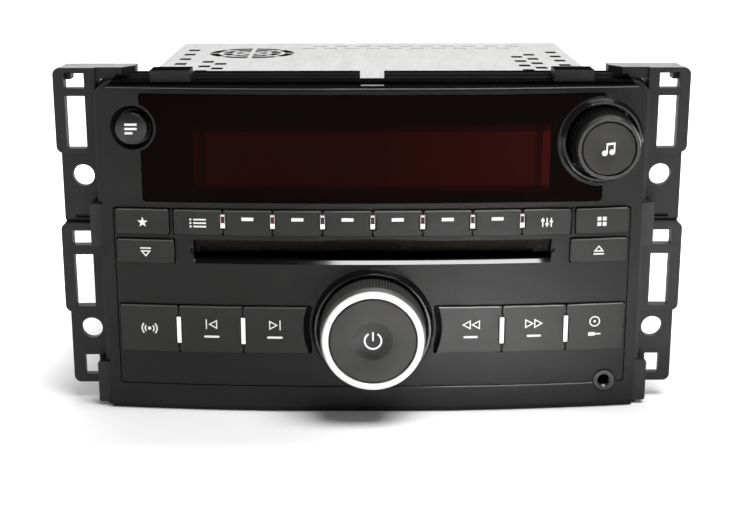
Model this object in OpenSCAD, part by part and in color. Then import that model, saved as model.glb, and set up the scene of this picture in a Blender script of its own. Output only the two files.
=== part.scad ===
// Car radio with a disc player: bowed fascia, push keys, two ringed knobs, mounting ears and a steel
// chassis that holds the disc mechanism. X runs to the right, Y to the back and Z up. The origin is
// under the middle of the fascia, in the plane of the mounting ears, on the surface the radio stands on.

/* [Fascia] */
// Width of the fascia
fascia_w = 190.6; // [188:0.2:200]
// Height of the fascia
fascia_h = 117.6; // [117:0.2:126]
// Corner radius of the fascia
fascia_r = 4; // [2:0.5:6]
// Radius of the sideways bow of the face
bow_r = 740; // [700:10:1200]
// Distance from the mounting ears forward to the middle of the face
face_stand = 16; // [15:0.5:19]
// Wall thickness of the moulded face
skin = 2.5; // [2:0.1:2.8]
// Wall thickness around the fascia's edge
edge_wall = 2; // [1.6:0.1:2.4]
// Side strip of the fascia beside the key panel
fascia_side = 4.1; // [3.6:0.1:5]
// Lowest edge of the key panel
panel_bottom = 10.1; // [9:0.1:10.8]
// Gap all round the key panel
panel_gap = 0.35; // [0.2:0.05:0.5]
// Width of the ledge that the key panel rests on
ledge_w = 0.75; // [0.5:0.05:0.9]
// Thickness of that ledge
ledge_t = 1.2; // [0.8:0.1:1.5]
// Height of the step along the fascia's lower edge
foot_h = 2; // [1:0.1:3]
// How far that step lies under the face
foot_step = 1.2; // [0.6:0.1:2]
// Radius of the lower corners
low_corner_r = 0.8; // [0.5:0.1:2]

/* [Display] */
// Height of the band above the key rows that holds the display
lens_band = 42.6; // [42:0.1:46]
// Strip of the fascia beside the display lens
lens_side = 14.6; // [13:0.2:18]
// Strip of the fascia above the display lens
lens_head = 2.1; // [1.8:0.1:5]
// Bar of the fascia between the key row and the lens
lens_bar = 2.4; // [2:0.1:4]
// Thickness of the lens
lens_t = 2; // [1.5:0.1:2.3]
// How far the lens lies under the face
lens_recess = 0.25; // [0.1:0.05:0.4]
// Gap round the lens
lens_gap = 0.15; // [0.1:0.05:0.3]
// Strip between the lens's side and the glass display unit
display_side = 17.7; // [16.8:0.1:22]
// Height of the glass display unit
display_h = 24.5; // [20:0.5:30]
// Lower edge of the display unit above the lens edge
display_rise = 3; // [1:0.5:6]

/* [Keys] */
// Height of the keys in the upper row
top_key_h = 9; // [8:0.1:9.6]
// Width of one preset key with its gap
preset_pitch = 17.5; // [17:0.1:17.8]
// Rib between the preset keys and the outer key
key_rib = 1.6; // [1.2:0.1:2]
// Bar between the upper row and the load keys
row_bar = 2; // [1.8:0.1:2.6]
// Height of the load and eject keys
load_key_h = 8.5; // [7:0.1:9]
// Drop of the lower keys' middle under the volume knob's axis
low_drop = 0.9; // [0.5:0.1:1.5]
// Height of the keys in the lower row
low_key_h = 17.2; // [15:0.1:18]
// Width of one lower key with its gap
low_pitch = 23.1; // [22.5:0.1:23.3]
// Gap between neighbouring keys
key_gap = 0.45; // [0.3:0.05:0.6]
// Gap between a key and its aperture
key_clear = 0.3; // [0.2:0.05:0.4]
// How far the keys stand out of the face
key_proud = 1.1; // [0.6:0.1:1.6]
// Travel of a key
key_travel = 0.8; // [0.5:0.1:1]
// Corner radius of a key
key_r = 0.8; // [0.4:0.1:1.2]
// Wall thickness of a hollow key
key_wall = 2.2; // [1.8:0.1:2.6]
// Height of the stop flange behind the face
key_flange = 0.8; // [0.5:0.1:0.9]
// Thickness of that flange at the outermost key
flange_t = 1.5; // [1:0.1:2]
// Height of a key switch without its plunger
switch_h = 1.2; // [1:0.1:1.6]
// Height of the switch plunger
plunger_h = 0.5; // [0.3:0.1:0.8]
// Width of a key switch
switch_w = 5.2; // [4.5:0.1:6]
// Radius of the switch plunger
plunger_r = 1.4; // [1:0.1:1.8]
// Radius of the post inside a key
post_r = 1.6; // [1.4:0.1:2]
// Width of the upper light pipes
pipe_w = 2; // [1.6:0.1:2.2]
// Height of the upper light pipes
pipe_h = 5.6; // [4.5:0.1:7]
// Width of the lower light pipes
low_pipe_w = 1.75; // [1.4:0.05:2.2]
// Height of the lower light pipes
low_pipe_h = 10.5; // [8:0.5:13]

/* [Disc slot] */
// Width of the disc slot
slot_w = 126.6; // [125:0.2:130]
// Clear height of the disc slot
slot_h = 6.8; // [6.6:0.1:7.4]
// Height of the sloping lower lip
slot_lip = 1.8; // [1:0.1:2.2]
// Depth of the sloping lower lip
lip_depth = 1.7; // [1.2:0.1:4]
// Depth of the slot's throat behind the face
throat_depth = 9; // [8:0.5:10]
// Wall thickness of the throat
throat_wall = 0.9; // [0.7:0.1:1]
// Radius of the scoops at the ends of the slot
scoop_r = 1.2; // [0.8:0.1:1.6]
// Width of the thumb hollow in the upper lip
thumb_w = 38; // [30:1:44]
// Rise of the thumb hollow
thumb_rise = 0.6; // [0.3:0.1:0.8]
// Height of the felt dust curtain
curtain_h = 1.7; // [1.2:0.1:2]
// Thickness of the felt dust curtain
curtain_t = 1; // [0.8:0.1:1.4]

/* [Volume knob] */
// Lap of the volume collar's rim over the panel's lower edge
dish_lap = 0.5; // [0.3:0.1:0.8]
// Lap of that rim over the wall under the disc slot
dish_rise = 0.3; // [0.1:0.1:0.5]
// Gap between the volume collar and the curved ends of the lower keys
key_ring = 2.8; // [2.2:0.1:4]
// How far the volume knob stands out of the face
volume_proud = 16.3; // [14:0.1:18]
// Width of the collar and gap round the knob
volume_moat = 2.6; // [2.2:0.05:2.9]
// Taper of the knob from its foot to its front
volume_taper = 0.7; // [0.4:0.05:0.9]
// Step from the knob's front edge in to the bright trim ring
trim_in = 0.8; // [0.6:0.05:1.2]
// Width of the bright trim ring
trim_w = 2.2; // [1.6:0.1:2.8]
// Thickness of the bright trim ring
trim_t = 1.1; // [0.8:0.1:1.5]
// Thickness of the power button
power_h = 4; // [3:0.1:5]
// How far the power button lies under the trim ring
power_recess = 0.4; // [0:0.1:0.8]
// Radius of the hollow in the power button
power_dimple_r = 6.95; // [5:0.05:8]
// Depth of the hollow in the power button
power_dimple = 0.9; // [0.3:0.1:1.2]
// Width of the volume encoder
volume_encoder_w = 24; // [20:0.5:26]
// Ribs of the volume knob's grip
volume_ribs = 110; // [80:1:130]

/* [Tune knob] */
// Distance from the fascia's side to the tune knob's axis
tune_side = 15.4; // [15.3:0.1:17]
// Distance from the fascia's top down to the tune knob's axis
tune_drop = 19; // [18.5:0.1:21]
// Radius at the foot of the tune knob's collar
tune_dish_r = 15; // [14.6:0.1:15.2]
// How far the tune knob stands out of the face
tune_proud = 15; // [12:0.1:17]
// Radius of the knob at its foot
tune_r = 12.4; // [12:0.1:12.6]
// Radius of the knob at its front
tune_front_r = 11.1; // [10.9:0.1:11.4]
// Radius of the tone button in the knob
tone_r = 9.15; // [8.6:0.05:9.6]
// Thickness of the tone button
tone_h = 3.6; // [3:0.1:4.5]
// How far the tone button lies under the knob's front
tone_recess = 0.2; // [0:0.1:0.6]
// Radius of the hollow in the tone button
tone_dimple_r = 5; // [4:0.1:6]
// Depth of the hollow in the tone button
tone_dimple = 0.4; // [0.2:0.1:0.6]
// Width of the tune encoder
tune_encoder_w = 18; // [15:0.5:18.3]
// Ribs of the tune knob's grip
tune_ribs = 76; // [50:1:90]
// Travel of the buttons in the two knobs
push_travel = 1; // [0.6:0.1:1.4]
// Depth of the ribs at the front of a grip
grip_depth = 0.25; // [0.15:0.05:0.35]
// Depth of the dish round the info button
dish_depth = 2.4; // [2:0.1:2.6]
// Gap between a knob and the hole that it stands in
knob_gap = 0.7; // [0.5:0.1:0.9]
// Width of the flat floor of that dish
dish_floor = 0.5; // [0.4:0.1:0.8]
// Rim left round the dish and the collars
dish_rim = 0.8; // [0.6:0.1:1]
// Width of the front edge of the collars round the knobs
collar_t = 0.7; // [0.6:0.05:0.9]
// How far the volume knob's collar stands out from the face
volume_collar = 3.2; // [1:0.1:4]
// How far the tune knob's collar stands out from the face
tune_collar = 1.8; // [1:0.1:2.5]
// Wall behind the floor of the dish
dish_back = 1.2; // [0.8:0.1:1.6]
// Running clearance of a knob on its encoder
run_gap = 0.05; // [0.03:0.01:0.08]

/* [Info button and socket] */
// Distance from the fascia's side to the info button's axis
info_side = 11.9; // [11.5:0.1:13]
// Distance from the fascia's top down to the info button's axis
info_drop = 14.1; // [13:0.1:16]
// Radius of the dish round the info button
info_dish_r = 7.7; // [7.2:0.1:8]
// Radius of the info button
info_r = 5.4; // [5:0.1:5.6]
// How far the info button stands out of the face
info_proud = 2.6; // [1.5:0.1:3.5]
// Radius of the info button's crowned front
info_crown = 24; // [18:1:40]
// Distance from the panel's side to the audio socket
jack_side = 7; // [6:0.1:8]
// Height of the audio socket
jack_z = 10.5; // [10:0.1:11.5]
// Bore radius of the audio socket
jack_bore_r = 1.8; // [1.75:0.01:1.85]
// Outer radius of the socket's collar
jack_collar_r = 3.8; // [3.4:0.1:4.2]
// Depth of the socket's bore
jack_depth = 14; // [13:0.5:15]

/* [Carrier and ears] */
// Step from the fascia's side out to the carrier
carrier_step = 2; // [1.5:0.1:2.5]
// Wall thickness of the carrier
carrier_wall = 2.2; // [1.8:0.1:2.6]
// Depth of the carrier behind the ears' front
carrier_back = 10.5; // [9:0.5:14]
// Start of the raised back part of the carrier
carrier_raise_y = 4; // [3:0.5:6]
// Rise of the carrier's back part over the fascia
carrier_raise = 2.8; // [2:0.1:4]
// Thickness of the carrier's inner shelf
shelf_t = 2; // [1.6:0.1:3]
// Thickness of the carrier's back rim
rim_t = 2; // [1.6:0.1:3]
// Lap of the back rim over the front of the chassis
rim_lap = 7; // [5:0.5:9]
// Thickness of the circuit boards
board_t = 1.6; // [1.2:0.1:2]
// Distance from the carrier's side out to the mounting holes
ear_hole_side = 5.9; // [5.4:0.1:7]
// Spacing of the mounting holes up the radio
ear_hole_z = 57.2; // [55:0.1:60]
// Height of the lower mounting holes
ear_low_z = 27.3; // [26:0.1:28]
// Radius of the mounting holes
ear_hole_r = 3.9; // [3:0.1:4.2]
// Width of an ear from the carrier outwards
ear_w = 13.3; // [12.8:0.1:16]
// Lower end of the ears
ear_bottom = 6.3; // [5:0.1:7]
// Thickness of the ear plate
ear_t = 3; // [2.5:0.1:4]
// How far the latch boxes stand ahead of the ear plate
box_fwd = 1.5; // [1:0.1:6]
// How far the latch boxes stand out past the ear plate
box_out = 1.4; // [0.5:0.1:2]
// Wall above and below the latch windows
box_wall = 1.6; // [1.5:0.1:2.4]
// Width of the latch windows
window_w = 7.1; // [5:0.1:7.4]
// Wall between a latch window and the box's outer side
window_wall = 3.8; // [3.4:0.1:5]
// Rise of the ears over the carrier
ear_rise = 2.6; // [1.4:0.1:3]
// Depth of the flange along the top of the ears
ear_flange = 11.4; // [9:0.1:13]
// How far the top flange of an ear reaches in over the carrier
ear_reach = 9.3; // [6:0.1:14]
// Distance from the carrier's side in to the upper snap arms
arm_in = 26.9; // [23:0.1:28]
// Length of the snap arms at the sides
arm_w = 15.5; // [14:0.1:16.5]
// Length of the snap arms at the top
top_arm_w = 13.8; // [12:0.1:16]
// Height of the snap arms over the carrier's front part
top_arm_h = 3.9; // [1.8:0.1:4.8]
// Thickness of the snap arms at the sides
arm_t = 4.8; // [3:0.1:5]

/* [Chassis] */
// Width of the chassis over the cover
chassis_w = 168; // [162:0.5:174]
// Drop from the top of the fascia to the top of the chassis
chassis_drop = 2.4; // [2:0.1:8]
// Back of the chassis
chassis_back = 150; // [148:0.5:160]
// Thickness of the steel sheet
sheet = 0.8; // [0.6:0.1:1.2]
// Depth of the cover's side lips
lip_h = 10; // [8:0.5:14]
// Width of the metal tongue at the front
tongue_w = 8; // [6:0.2:10]
// Width of a vent
vent_w = 4.6; // [3:0.1:5]
// Length of a vent
vent_l = 5.6; // [4:0.1:7]
// Spacing of the vents
vent_pitch = 14.65; // [12:0.05:16]
// Radius of the fan grille
grille_r = 18; // [16:0.2:18.5]
// Width of the grille's spokes and rings
grille_bar = 1.8; // [1.4:0.1:2.4]
// Distance from the chassis side to the fan's axis
fan_side = 33.3; // [28:0.1:38]
// Distance from the chassis back to the fan's axis
fan_in = 39.7; // [34:0.1:44]
// Size of the fan's square frame
fan_w = 40; // [38.5:0.5:44]
// Depth of the fan's frame
fan_h = 10; // [8:0.5:14]
// Radius of the fan wheel's hub
fan_hub_r = 6.5; // [5:0.1:8]
// Blades of the fan
fan_blades = 7; // [5:1:9]
// Radius of the screw heads
screw_head_r = 2.8; // [2.4:0.1:3.4]
// Radius of the screw shanks
screw_r = 1.4; // [1.2:0.1:1.6]
// Height of the screw heads
screw_head_h = 1.5; // [1.2:0.1:2]
// Length of the screws under their heads
screw_l = 4; // [3:0.1:6]
// Width of the heat sink
sink_w = 56; // [40:1:60]
// Height of the heat sink
sink_h = 70; // [50:1:80]
// Lower edge of the heat sink
sink_z = 24; // [10:1:30]
// Thickness of the heat sink's base
sink_base = 4; // [3:0.5:6]
// Thickness of a fin
fin_t = 1.8; // [1.2:0.1:2.4]
// Depth of the heat sink behind the chassis
sink_depth = 12; // [8:0.5:18]
// Fins of the heat sink
sink_fins = 10; // [6:1:14]
// Bore radius of the aerial socket
aerial_r = 4.2; // [3.8:0.1:4.6]
// Depth of the aerial socket
aerial_depth = 12; // [10:0.5:14]
// Width of the harness connector
harness_w = 42; // [36:0.5:48]
// Height of the harness connector
harness_h = 22; // [18:0.5:26]
// Depth of the harness connector
harness_depth = 22; // [18:0.5:26]
// Wall thickness of the harness connector
harness_wall = 2; // [1.5:0.1:2.5]
// Height of the main board above the underside
main_board_z = 8; // [5:0.5:10]
// Radius of the capacitors on the main board
can_r = 8; // [6:0.5:9]
// Height of the capacitors
can_h = 22; // [16:0.5:24]
// Width of the processor on the main board
chip_w = 26; // [18:1:30]
// Length of the tuner box on the main board
tuner_l = 34; // [26:1:38]
// Height of the tuner box
tuner_h = 14; // [10:0.5:16]

/* [Disc mechanism] */
// Height of the disc's lower side above the slot's bottom
disc_rise = 2; // [1.8:0.1:2.4]
// Distance from the ears back to the spindle
spindle_y = 74; // [72:0.5:80]
// Space from the chassis walls to the mechanism's frame
deck_side = 13.2; // [10.2:0.1:14.2]
// Drop from the disc to the mechanism's plate
deck_drop = 12; // [11.5:0.1:14]
// Thickness of the mechanism's plate
deck_t = 1.2; // [1:0.1:1.6]
// Radius of the loading roller's rubber
roller_r = 5; // [4.5:0.1:5.4]
// Distance from the ears back to the loading roller
roller_y = 24; // [22:0.5:26]
// Radius of the shafts and pivots in the mechanism
pivot_r = 1.5; // [1.2:0.1:1.8]
// Module of the loading gears
gear_module = 0.6; // [0.58:0.01:0.62]
// Radius of the turntable
turntable_r = 14; // [12:0.5:14.5]
// Radius of the spindle motor
motor_r = 11; // [9:0.5:12]
// Distance from the spindle to each guide rod
rod_offset = 18; // [17:0.5:20]
// Travel of the pickup
pickup_travel = 34; // [28:0.5:35]
// Length of the pickup along its travel
pickup_l = 16; // [14:0.5:17]
// Lift of the clamp's pad over the disc
clamp_gap = 1.3; // [1.2:0.1:2]
// Radius of the clamp's pad
clamp_pad_r = 13; // [10:0.5:14]
// Reach of the clamp arm from its pivots to the spindle
clamp_reach = 58; // [54:0.5:60]
// Height of the clamp's pivots over the disc
clamp_rise = 7; // [6:0.1:8]
// Width of the clamp arm's tongue
clamp_w = 18; // [12:0.5:20]
// Radius of the centring hub on the turntable
hub_r = 7.3; // [7:0.05:7.4]
// Radius of the loading motor
loading_motor_r = 4.2; // [3.5:0.1:4.4]
// Length of the loading motor
loading_motor_l = 22; // [16:0.5:26]
// Radius of the lead screw's motor
sled_motor_r = 4.6; // [3.8:0.1:4.7]
// Length of the lead screw's motor
sled_motor_l = 15; // [12:0.5:18]
// Radius of the rubber dampers
damper_r = 4; // [3:0.1:4.5]
// Height of the rubber dampers
damper_h = 4; // [3:0.1:5]
// Distance from the spindle forward to the front dampers
damper_fore = 40; // [36:0.5:44]
// Distance from the spindle back to the rear dampers
damper_aft = 46; // [42:0.5:50]

/* [Hidden] */

$fn = 48;
bow_fn = 720;
over = 1;
far = 60;

// Depth of the face at a place across it, and the angle it turns there
face_y0 = -face_stand;
function face_y(x) = face_y0 + bow_r - sqrt(bow_r * bow_r - x * x);
function face_turn(x) = asin(x / bow_r);

// Rows and columns of the face
panel_half = fascia_w / 2 - fascia_side;
row_top = fascia_h - lens_band;
row_z = row_top - top_key_h;
load_top = row_z - row_bar;
load_z = load_top - load_key_h;
slot_top = load_top;
slot_bottom = slot_top - slot_h;
lip_z = slot_bottom - slot_lip;
volume_rim_r = (lip_z - throat_wall + dish_rise - panel_bottom + dish_lap) / 2;
volume_dish_r = volume_rim_r - dish_rim;
volume_z = panel_bottom - dish_lap + volume_rim_r;
volume_key_r = volume_dish_r + key_ring;
low_row_z = volume_z - low_drop - low_key_h / 2;
low_row_top = low_row_z + low_key_h;
key_edge = panel_half - 0.8;
preset_half = 4 * preset_pitch;
outer_key_x = preset_half + key_rib;
lens_half = fascia_w / 2 - lens_side;
lens_z = row_top + lens_bar;
lens_top = fascia_h - lens_head;
display_half = lens_half - display_side;
pipe_z = row_z + top_key_h / 2 + 0.6;
low_pipe_z = low_row_z + low_key_h / 2 - 0.45;

// Layers behind the face
key_back = face_y(panel_half) + skin + key_clear + flange_t;
board_front = key_back + key_travel + 0.1 + plunger_h + switch_h;
board_back = board_front + board_t;
board_half = panel_half - 1.2;
board_bottom = 5;
board_top = fascia_h - 5;
display_front = face_y(display_half) + lens_recess + lens_t + 0.5;

// Knob places
tune_x = fascia_w / 2 - tune_side;
tune_z = fascia_h - tune_drop;
info_x = -(fascia_w / 2 - info_side);
info_z = fascia_h - info_drop;
jack_x = panel_half - jack_side;
volume_r = volume_dish_r - volume_moat;
volume_front_r = volume_r - volume_taper;
trim_r = volume_front_r - trim_in;
power_r = trim_r - trim_w - key_clear;
volume_front = face_y0 - volume_proud;
volume_foot = board_front - 5.8;
tune_front = face_y(tune_x) - tune_proud;
tune_foot = board_front - 5.2;
encoder_h = 5;
tune_encoder_h = 4.4;

// Carrier, ears and chassis
carrier_half = fascia_w / 2 + carrier_step;
carrier_top = fascia_h + 1.1;
ear_hole_x = 2 * (carrier_half + ear_hole_side);
ear_inner = carrier_half - ear_reach;
chassis_h = fascia_h - chassis_drop;
raised_top = fascia_h + carrier_raise;
ear_out = carrier_half + ear_w;
ear_top = raised_top + ear_rise;
box_x = ear_out + box_out;
window_x = box_x - window_wall - window_w;
ear_mid_z = ear_low_z + ear_hole_z / 2;
tray_half = chassis_w / 2 - sheet;
tray_top = chassis_h - sheet;
tray_front = carrier_back;
tray_inner = tray_half - sheet;
tray_inner_back = chassis_back - sheet;
fan_x = -(chassis_w / 2 - fan_side);
fan_y = chassis_back - fan_in;
tongue_z = fascia_h - 0.8;
arm_x = carrier_half - arm_in;
arm_gap = 0.3;

// Disc mechanism
disc_z = slot_bottom + disc_rise;
deck_z = disc_z - deck_drop;
deck_front = tray_front + sheet + 3;
deck_back = tray_inner_back - 6;
rail_t = 1.2;
roller_z = disc_z - 0.15 - roller_r;
gear_teeth = 24;
pinion_teeth = 10;
gear_angle = -6;
gear_reach = gear_module * (gear_teeth + pinion_teeth) / 2;
pinion_y = roller_y + gear_reach * cos(gear_angle);
pinion_z = roller_z + gear_reach * sin(gear_angle);
gear_w = 3;
deck_half = tray_half - deck_side;
gear_x = -(deck_half - rail_t - 4.2);
rod_z = deck_z + 5.8;
rod_x0 = turntable_r - 2;
rod_x1 = deck_half - rail_t;
post_w = 3;
screw_y = spindle_y - rod_offset - 8;
pickup_x = turntable_r + 1.5;
clamp_y = spindle_y + clamp_reach;
clamp_z = disc_z + clamp_rise;
clamp_pad_z = disc_z + clamp_gap;
damper_x = deck_half + damper_r + 1;
screw_places = [for (y = [40, (40 + chassis_back - 22) / 2, chassis_back - 22]) y];

// Colours
dark_plastic = [0.16, 0.16, 0.16];
key_plastic = [0.2, 0.2, 0.19];
ear_plastic = [0.22, 0.22, 0.22];
steel_grey = [0.86, 0.86, 0.85];
board_green = [0.1, 0.3, 0.18];

// Flat shapes are drawn as seen from the front and pulled forward from a back plane
module forward(y_back, depth) {
  translate([0, y_back, 0]) rotate([90, 0, 0]) linear_extrude(depth) children();
}

// Round pieces stand on the face with their own axis pointing forward
module facing(x, y, z) {
  translate([x, y, z]) rotate([90, 0, 0]) children();
}

// Everything behind the bowed face, raised or lowered by a lift
module bow_solid(lift) {
  translate([0, face_y0 + bow_r, -far]) cylinder(r = bow_r + lift, h = fascia_h + 2 * far, $fn = bow_fn);
}

module rounded(x0, x1, z0, z1, r) {
  translate([x0 + r, z0]) square([x1 - x0 - 2 * r, z1 - z0]);
  translate([x0, z0 + r]) square([x1 - x0, z1 - z0 - 2 * r]);
  for (x = [x0 + r, x1 - r], z = [z0 + r, z1 - r]) translate([x, z]) circle(r);
}

module stadium(x, z, w, h) {
  translate([x - w / 2, z - h / 2 + w / 2]) square([w, h - w]);
  for (s = [-1, 1]) translate([x, z + s * (h - w) / 2]) circle(w / 2);
}

module disc2d(x, z, r) {
  translate([x, z]) circle(r, $fn = 96);
}

// A slab that follows the bow between two depths under the face
module bowed_slab(lift, depth, y_back) {
  difference() {
    intersection() {
      forward(y_back, far) children();
      bow_solid(lift);
    }
    bow_solid(lift - depth);
  }
}

// Conical dish cut square to the bowed face, with the straight hole for its button
module dish_cut(x, z, r_out, r_hole) {
  r_foot = r_hole + dish_floor;
  slope = (r_out - r_foot) / dish_depth;
  translate([x, face_y(x), z]) rotate([0, 0, face_turn(x)]) rotate([90, 0, 0]) translate([0, 0, -dish_depth])
    cylinder(r1 = r_foot, r2 = r_out + over * slope, h = dish_depth + over, $fn = 96);
  knob_hole(x, z, r_hole);
}

// Conical collar square to the bowed face, with the straight hole for its knob
module knob_collar(x, z, r_out, r_hole, proud) {
  sink = skin / 2;
  slope = (r_out - r_hole - collar_t) / proud;
  difference() {
    translate([x, face_y(x), z]) rotate([0, 0, face_turn(x)]) rotate([90, 0, 0]) translate([0, 0, -sink])
      cylinder(r1 = r_out + sink * slope, r2 = r_hole + collar_t, h = sink + proud, $fn = 96);
    knob_hole(x, z, r_hole);
  }
}

module knob_hole(x, z, r_hole) {
  facing(x, board_front, z) cylinder(r = r_hole, h = far, $fn = 96);
}

// Outline of the key panel's opening in the fascia, grown by a margin
module panel_outline(grow) {
  difference() {
    union() {
      rounded(-panel_half - grow, panel_half + grow, panel_bottom - grow, row_top + grow, 1.2 + grow);
      disc2d(0, volume_z, volume_rim_r + grow);
    }
    disc2d(jack_x, jack_z, jack_collar_r + panel_gap - grow);
  }
}

// Outline of the lens window, shrunk by a gap
module lens_outline(gap) {
  difference() {
    rounded(-lens_half + gap, lens_half - gap, lens_z + gap, lens_top - gap, 1.2);
    disc2d(tune_x, tune_z, tune_dish_r + dish_rim + gap);
    disc2d(info_x, info_z, info_dish_r + dish_rim + gap);
  }
}

module fascia_outline(inset) {
  rounded(-fascia_w / 2 + inset, fascia_w / 2 - inset, inset, fascia_h - inset, fascia_r - inset / 2);
  rounded(-fascia_w / 2 + inset, fascia_w / 2 - inset, inset, fascia_h / 2, low_corner_r);
}

// Outline of the carrier up to a given height, nearly square at its lower corners
module carrier_outline(top) {
  rounded(-carrier_half, carrier_half, 0, top, fascia_r + carrier_step);
  rounded(-carrier_half, carrier_half, 0, top / 2, low_corner_r);
}

// Moulded front frame with the lens window, a dish, a collar and the opening for the key panel
module fascia() {
  color(dark_plastic) union() {
    difference() {
      union() {
        difference() {
          intersection() {
            forward(key_back, far) fascia_outline(0);
            bow_solid(0);
          }
          intersection() {
            forward(key_back + over, far) fascia_outline(edge_wall);
            bow_solid(-skin);
          }
        }
        // Rings of wall behind the dish and the collar
        intersection() {
          forward(key_back, far) fascia_outline(0);
          bowed_slab(0, dish_depth + dish_back, key_back) {
            disc2d(tune_x, tune_z, tune_dish_r + dish_rim);
            disc2d(info_x, info_z, info_dish_r + dish_rim);
          }
        }
        // Ledge that the key panel rests on, open along the top for the keys
        bowed_slab(-skin + 0.5, ledge_t + 0.5, key_back) difference() {
          rounded(-panel_half - 2, panel_half + 2, panel_bottom - 3, row_top, 1);
          rounded(-panel_half + ledge_w, panel_half - ledge_w, panel_bottom + ledge_w, row_top + far, 1);
          disc2d(0, volume_z, volume_rim_r + dish_rim);
        }
      }
      // Step under the face along its lower edge
      difference() {
        translate([-far - fascia_w, face_y0 - far, -over])
            cube([2 * (far + fascia_w), far + face_stand, over + foot_h]);
        bow_solid(-foot_step);
      }
      // Opening for the key panel, which leaves the ledge behind it
      difference() {
        forward(key_back + over, far) {
          rounded(-panel_half - panel_gap, panel_half + panel_gap, panel_bottom - panel_gap,
                  row_top + panel_gap, 1.2);
          disc2d(0, volume_z, volume_rim_r + panel_gap);
        }
        bow_solid(-skin - 0.05);
      }
      forward(key_back + over, far) lens_outline(0);
      forward(key_back + over, far)
        rounded(-panel_half + ledge_w, panel_half - ledge_w, row_top - 4, row_top + panel_gap, 1);
      facing(jack_x, key_back + over, jack_z) cylinder(r = jack_collar_r + panel_gap, h = far);
      knob_hole(tune_x, tune_z, tune_r + knob_gap);
      dish_cut(info_x, info_z, info_dish_r, info_r + key_clear);
      // Notch for the metal tongue
      translate([-tongue_w / 2 - arm_gap, key_back - 3, tongue_z - arm_gap])
        cube([tongue_w + 2 * arm_gap, far, far]);
    }
    knob_collar(tune_x, tune_z, tune_dish_r, tune_r + knob_gap, tune_collar);
  }
}

// Apertures of the key panel
module key_apertures() {
  c = key_clear;
  up = row_top + far;
  for (s = [-1, 1]) {
    x0 = s > 0 ? outer_key_x - c : -key_edge - c;
    x1 = s > 0 ? key_edge + c : -outer_key_x + c;
    rounded(x0, x1, row_z - c, up, 0.5);
    rounded(s > 0 ? preset_half - c : -key_edge - c, s > 0 ? key_edge + c : -preset_half + c,
            load_z - c, load_top + c, 0.5);
    difference() {
      rounded(s > 0 ? volume_dish_r : -key_edge - c, s > 0 ? key_edge + c : -volume_dish_r,
              low_row_z - c, low_row_top + c, 0.5);
      disc2d(0, volume_z, volume_rim_r);
    }
  }
  rounded(-preset_half - c, preset_half + c, row_z - c, up, 0.5);
}

// The disc slot as a profile turned about the bow's axis, so that its lip follows the face
module slot_cut() {
  intersection() {
    translate([0, face_y0 + bow_r, 0]) rotate_extrude($fn = bow_fn) polygon([
      [bow_r + over, lip_z], [bow_r, lip_z], [bow_r - lip_depth, slot_bottom],
      [bow_r - 2 * throat_depth, slot_bottom], [bow_r - 2 * throat_depth, slot_top],
          [bow_r + over, slot_top]]);
    translate([-slot_w / 2, face_y0 - over, lip_z - over]) cube([slot_w, far, slot_h + slot_lip + 2 * over]);
  }
  for (x = [-slot_w / 2, slot_w / 2]) facing(x, face_y(x) + 1.4, slot_bottom + 3)
      cylinder(r = scoop_r, h = far);
}

// Bowed insert that carries the keys, the disc slot and the volume knob's collar
module key_panel() {
  thumb_r = (thumb_w * thumb_w / 4 + thumb_rise * thumb_rise) / (2 * thumb_rise);
  color(dark_plastic) union() {
    difference() {
      union() {
        bowed_slab(0, skin, key_back) panel_outline(0);
        bowed_slab(0, dish_depth + dish_back, key_back) disc2d(0, volume_z, volume_rim_r);
        bowed_slab(0, throat_depth, key_back + throat_depth)
          translate([-slot_w / 2 - throat_wall, lip_z - throat_wall])
            square([slot_w + 2 * throat_wall, slot_h + slot_lip + 2 * throat_wall]);
      }
      forward(key_back + over, far) key_apertures();
      slot_cut();
      knob_hole(0, volume_z, volume_r + knob_gap);
      // Thumb hollow in the upper lip of the slot
      intersection() {
        facing(0, face_y0 + skin, slot_top + thumb_rise - thumb_r) cylinder(r = thumb_r, h = far, $fn = 360);
        translate([-thumb_w / 2, face_y0 - over, slot_top - over]) cube([thumb_w, far, thumb_rise + over]);
      }
    }
    knob_collar(0, volume_z, volume_dish_r, volume_r + knob_gap, volume_collar);
  }
}

// Dark display lens that fills the window round the dish and the collar
module display_lens() {
  color([0.1, 0.03, 0.03]) bowed_slab(-lens_recess, lens_t, key_back) lens_outline(lens_gap);
}

// Glass display unit on the front board
module display_module() {
  z0 = lens_z + display_rise;
  color([0.25, 0.05, 0.04]) {
    forward(board_front, board_front - display_front)
      rounded(-display_half, display_half, z0, z0 + display_h, 1);
  }
}

// Light pipes between the keys, standing on the front board
module light_pipes() {
  color([0.95, 0.95, 0.93]) intersection() {
    forward(board_front, far) {
      for (i = [-3:3]) {
        stadium(i * preset_pitch, pipe_z, pipe_w, pipe_h);
        translate([i * preset_pitch - pipe_w / 2, pipe_z - pipe_h / 2]) square([pipe_w, pipe_h / 2]);
      }
      for (s = [-1, 1], i = [2, 3]) stadium(s * i * low_pitch, low_pipe_z, low_pipe_w, low_pipe_h);
    }
    bow_solid(key_proud - 0.1);
  }
}

// Notches that the keys leave for the light pipes
module pipe_notches() {
  g = 2 * key_clear;
  for (i = [-3:3]) {
    stadium(i * preset_pitch, pipe_z, pipe_w + g, pipe_h + g);
    translate([i * preset_pitch - (pipe_w + g) / 2, pipe_z - (pipe_h + g) / 2])
        square([pipe_w + g, pipe_h / 2]);
  }
  for (s = [-1, 1], i = [2, 3]) stadium(s * i * low_pitch, low_pipe_z, low_pipe_w + g, low_pipe_h + g);
}

// Felt strip that hangs from the top of the slot's throat
module dust_curtain() {
  y = face_y(slot_w / 2) + skin;
  color([0.2, 0.17, 0.13]) translate([-slot_w / 2 + 0.5, y, slot_top - curtain_h])
    cube([slot_w - 1, curtain_t, curtain_h]);
}

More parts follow.
